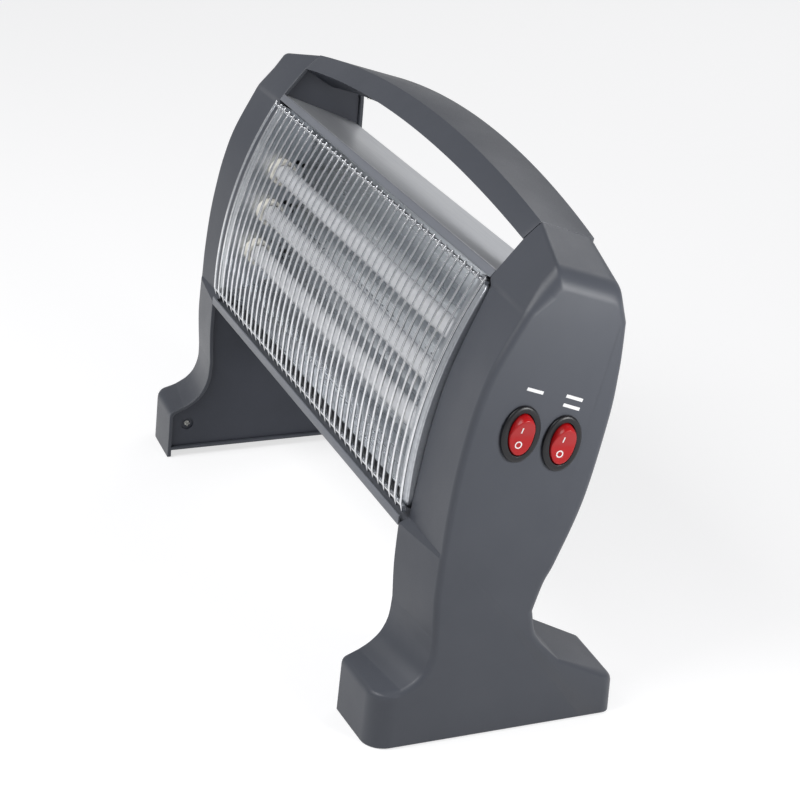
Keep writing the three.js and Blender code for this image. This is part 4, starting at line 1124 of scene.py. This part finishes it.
for number, at in enumerate(tube_places, 1):
    end = socket_x - seat_gap
    bore = tube_radius - tube_wall
    tube = turned_piece("quartz_" + str(number), [
        (bore, -end), (tube_radius - tube_lip, -end), (tube_radius, -end + tube_lip),
        (tube_radius, end - tube_lip), (tube_radius - tube_lip, end), (bore, end),
    ], at, milky_quartz)
    fitted(tube, "quartz", "quartz_tube_" + str(number))
    for side_name, side in (("right", 1), ("left", -1)):
        mouth = cap_face - cap_length
        socket = tube_radius + seat_gap
        cap_number = side_name + "_" + str(number)
        cap = turned_piece("cap_" + cap_number, [
            (cap_bore, socket_x), (socket, socket_x), (socket, mouth + cap_edge / 2),
            (socket + cap_edge / 2, mouth), (cap_radius - cap_edge, mouth),
            (cap_radius, mouth + cap_edge), (cap_radius, cap_face - cap_edge),
            (cap_radius - cap_edge, cap_face), (cap_neck_radius, cap_face),
            (cap_neck_radius, cap_face + cap_neck_length), (cap_bore, cap_face + cap_neck_length),
        ], at, raw_ceramic, 40, side)
        fitted(cap, "ceramic", "tube_cap_" + cap_number)


# Switches: black oval cases with a domed bezel on the panel, and glossy red rockers printed with
# a white line and ring. Each rocker tips about its middle.
bezel_height = 2.2 * mm
bezel_side = 0.9 * mm
bezel_round = 1.8 * mm
bezel_skirt = 0.2 * mm
bezel_skirt_inset = 0.15 * mm
body_depth = 20 * mm
body_chamfer = 0.5 * mm
pocket_depth = 14 * mm
pocket_round = 0.35 * mm
rocker_width = 14.6 * mm
rocker_length = 23.6 * mm
rocker_dish = 3.2 * mm
rocker_pivot = 2.2 * mm
rocker_levels = (-6 * mm, -4 * mm, -2 * mm, -0.5 * mm)
rocker_valley = 1.5 * mm
rocker_edge = 0.7 * mm
rocker_end_angle = math.radians(25)
rocker_tilt = math.radians(10)
mark_shift = -1.2 * mm
mark_rise = 0.03 * mm
mark_depth = 0.2 * mm
line_centre = 4.3 * mm
line_length = 3.6 * mm
line_stroke = 0.75 * mm
ring_centre = -4.6 * mm
ring_radius = 2.05 * mm
ring_stroke = 0.65 * mm
switch_black = moulded("switch_black", (24, 24, 27), (20, 20, 23), 0.34, 2200.0, 0.25, 0.1)
rocker_red = moulded("rocker_red", (170, 12, 18), (160, 10, 15), 0.34, 2600.0, 0.12, 0.15)
mark_white = moulded("mark_white", (232, 232, 232), (222, 222, 222), 0.5, 2000.0, 0.2)


def switch_case(index):
    def bezel(x, inset):
        return oval(x, bezel_width - 2 * inset, bezel_length - 2 * inset)

    def pocket(x, gap):
        return oval(x, rocker_width + 2 * gap, rocker_length + 2 * gap)

    rings = [
        bezel(-body_depth, body_inset + body_chamfer),
        bezel(-body_depth + body_chamfer, body_inset),
        bezel(seat_gap, body_inset),
        bezel(seat_gap, bezel_skirt_inset),
        bezel(seat_gap + bezel_skirt, 0),
    ]
    rings += [
        bezel(bezel_side + (bezel_height - bezel_side) * math.sin(turned),
              bezel_round * (1 - math.cos(turned)))
        for turned in quarter(8)
    ]
    rings += [
        pocket(bezel_height - pocket_round * (1 - math.cos(turned)),
               seat_gap + pocket_round * (1 - math.sin(turned)))
        for turned in quarter(4)
    ]
    rings.append(pocket(bezel_height - pocket_depth, seat_gap))
    made = piece("case_" + str(index + 1), *loft(rings), switch_black, sharp=40)
    made.data.transform(switch_frame(index))
    fitted(made, "black_plastic", "switch_case_" + str(index + 1))


rocker_reach = rocker_length / 2
end_rise = rocker_reach * math.sin(rocker_end_angle)
end_run = rocker_reach * math.cos(rocker_end_angle)
rocker_slope = (end_rise - rocker_dish) / end_run


def rocker_top(along):
    """How far the rocker's dished face stands over its pivot, softened at the middle."""
    return rocker_dish + rocker_slope * (math.hypot(along, rocker_valley) - rocker_valley)


def side_scale(height):
    """How large the oval is at a height, as a share of its full size."""
    return math.sqrt(max(1 - (height / rocker_reach) ** 2, 0))


def rocker_rim(turned):
    """The share of the full oval at which the top meets the side, in one direction."""
    share = 1.0
    for _ in range(20):
        share = side_scale(rocker_top(share * rocker_reach * math.sin(turned)))
    return share


def rocker_mesh():
    turns = around_circle(72)
    rims = [rocker_rim(t) for t in turns]

    def spot(x, share, t):
        return Vector((x, share * rocker_width / 2 * math.cos(t),
                       share * rocker_reach * math.sin(t)))

    rings = [[spot(level, side_scale(level), t) for t in turns] for level in rocker_levels]
    shoulders = [rocker_top(r * rocker_reach * math.sin(t)) - rocker_edge
                 for t, r in zip(turns, rims)]
    for part in (0.25, 0.5, 0.75, 0.9):
        rings.append([spot(top * part, side_scale(top * part), t)
                      for t, top in zip(turns, shoulders)])
    for turned in quarter(4):
        ring = []
        for t, r in zip(turns, rims):
            share = r - rocker_edge / rocker_reach * (1 - math.cos(turned))
            top = rocker_top(share * rocker_reach * math.sin(t))
            ring.append(spot(top - rocker_edge * (1 - math.sin(turned)), share, t))
        rings.append(ring)
    for part in (0.88, 0.76, 0.64, 0.52, 0.4, 0.28, 0.16, 0.05):
        ring = []
        for t, r in zip(turns, rims):
            share = (r - rocker_edge / rocker_reach) * part
            ring.append(spot(rocker_top(share * rocker_reach * math.sin(t)), share, t))
        rings.append(ring)
    return loft(rings)


def on_face(across, along):
    return Vector((rocker_top(along) + mark_rise, across, along))


def mark_ring():
    """A printed ring on the rocker's face."""
    points, faces = [], []
    sides = 48
    for t in around_circle(sides):
        for r in (ring_radius - ring_stroke, ring_radius):
            spot = on_face(mark_shift + r * math.cos(t), ring_centre + r * math.sin(t))
            points += [spot, spot - Vector((mark_depth, 0, 0))]
    for i in range(sides):
        a, b = 4 * i, 4 * ((i + 1) % sides)
        faces += [(a, b, b + 2, a + 2), (a + 1, a + 3, b + 3, b + 1),
                  (a, a + 1, b + 1, b), (a + 2, b + 2, b + 3, a + 3)]
    return points, faces


def mark_line():
    """A printed line along the rocker's face."""
    steps = 8
    rings = []
    for i in range(steps + 1):
        along = line_centre - line_length / 2 + line_length * i / steps
        low, high = (on_face(mark_shift + half * line_stroke, along) for half in (-0.5, 0.5))
        sunk = Vector((mark_depth, 0, 0))
        rings.append([low, high, high - sunk, low - sunk])
    return loft(rings)


for index in (0, 1):
    switch_case(index)
    body = "rocker_" + str(index + 1)
    tipped = (switch_frame(index) @ Matrix.Translation((bezel_height - rocker_pivot, 0, 0))
              @ Matrix.Rotation(rocker_tilt, 4, "Y"))
    key = piece("red_" + body, *rocker_mesh(), rocker_red, sharp=50)
    line_mark = piece("line_mark_" + str(index + 1), *mark_line(), mark_white)
    ring_mark = piece("ring_mark_" + str(index + 1), *mark_ring(), mark_white)
    for made in (key, line_mark, ring_mark):
        made.data.transform(tipped)
        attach(made, body)
    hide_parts(body)


# Stage marks: plain white bars printed on the panel over the switches, one for the first stage
# and two for the second.
bar_thickness = 1.8 * mm
bar_rise = 0.05 * mm
bar_ends = [
    ((70.9, 207.7), (80.4, 204.3)),
    ((94.1, 201.5), (103.9, 197.9)),
    ((92.9, 196.6), (102.7, 193)),
]
for number, (start, end) in enumerate(bar_ends, 1):
    low = Vector((front_y + start[0] * mm, start[1] * mm))
    high = Vector((front_y + end[0] * mm, end[1] * mm))
    up = Vector((low.y - high.y, high.x - low.x)).normalized() * bar_thickness / 2
    rings = [
        [Vector((mid_x + outer_x + rise, p.x, p.y))
         for p in (low - up, high - up, high + up, low + up)]
        for rise in (-mark_depth, bar_rise)
    ]
    fitted(piece("stage_bar_" + str(number), *loft(rings), mark_white), "panel")


# Inside the switch panel: the tip-over switch with its hanging brass weight, the ceramic mains
# terminals, the bush for the mains lead, and braided leads from the tubes to the switches.
turned_brass = rolled("turned_brass", (196, 166, 96), (168, 138, 74), 0.3, 900.0, 0.2, 0.2)
glass_braid = moulded("glass_braid", (222, 217, 205), (204, 198, 184), 0.75, 900.0, 0.7)
box_edge = 0.3 * mm
rounded_copy("tip_box", "tip_switch_case", switch_black, "black_plastic", box_edge)
rounded_copy("mains_terminals", "terminal_block", raw_ceramic, "ceramic", box_edge)
dressed(["cord_bush"], switch_black)
dressed(["tip_switch_weight"], turned_brass)
dressed(["supply_lead_1", "supply_lead_2", "supply_lead_3", "far_link_1", "far_link_2"],
        glass_braid)
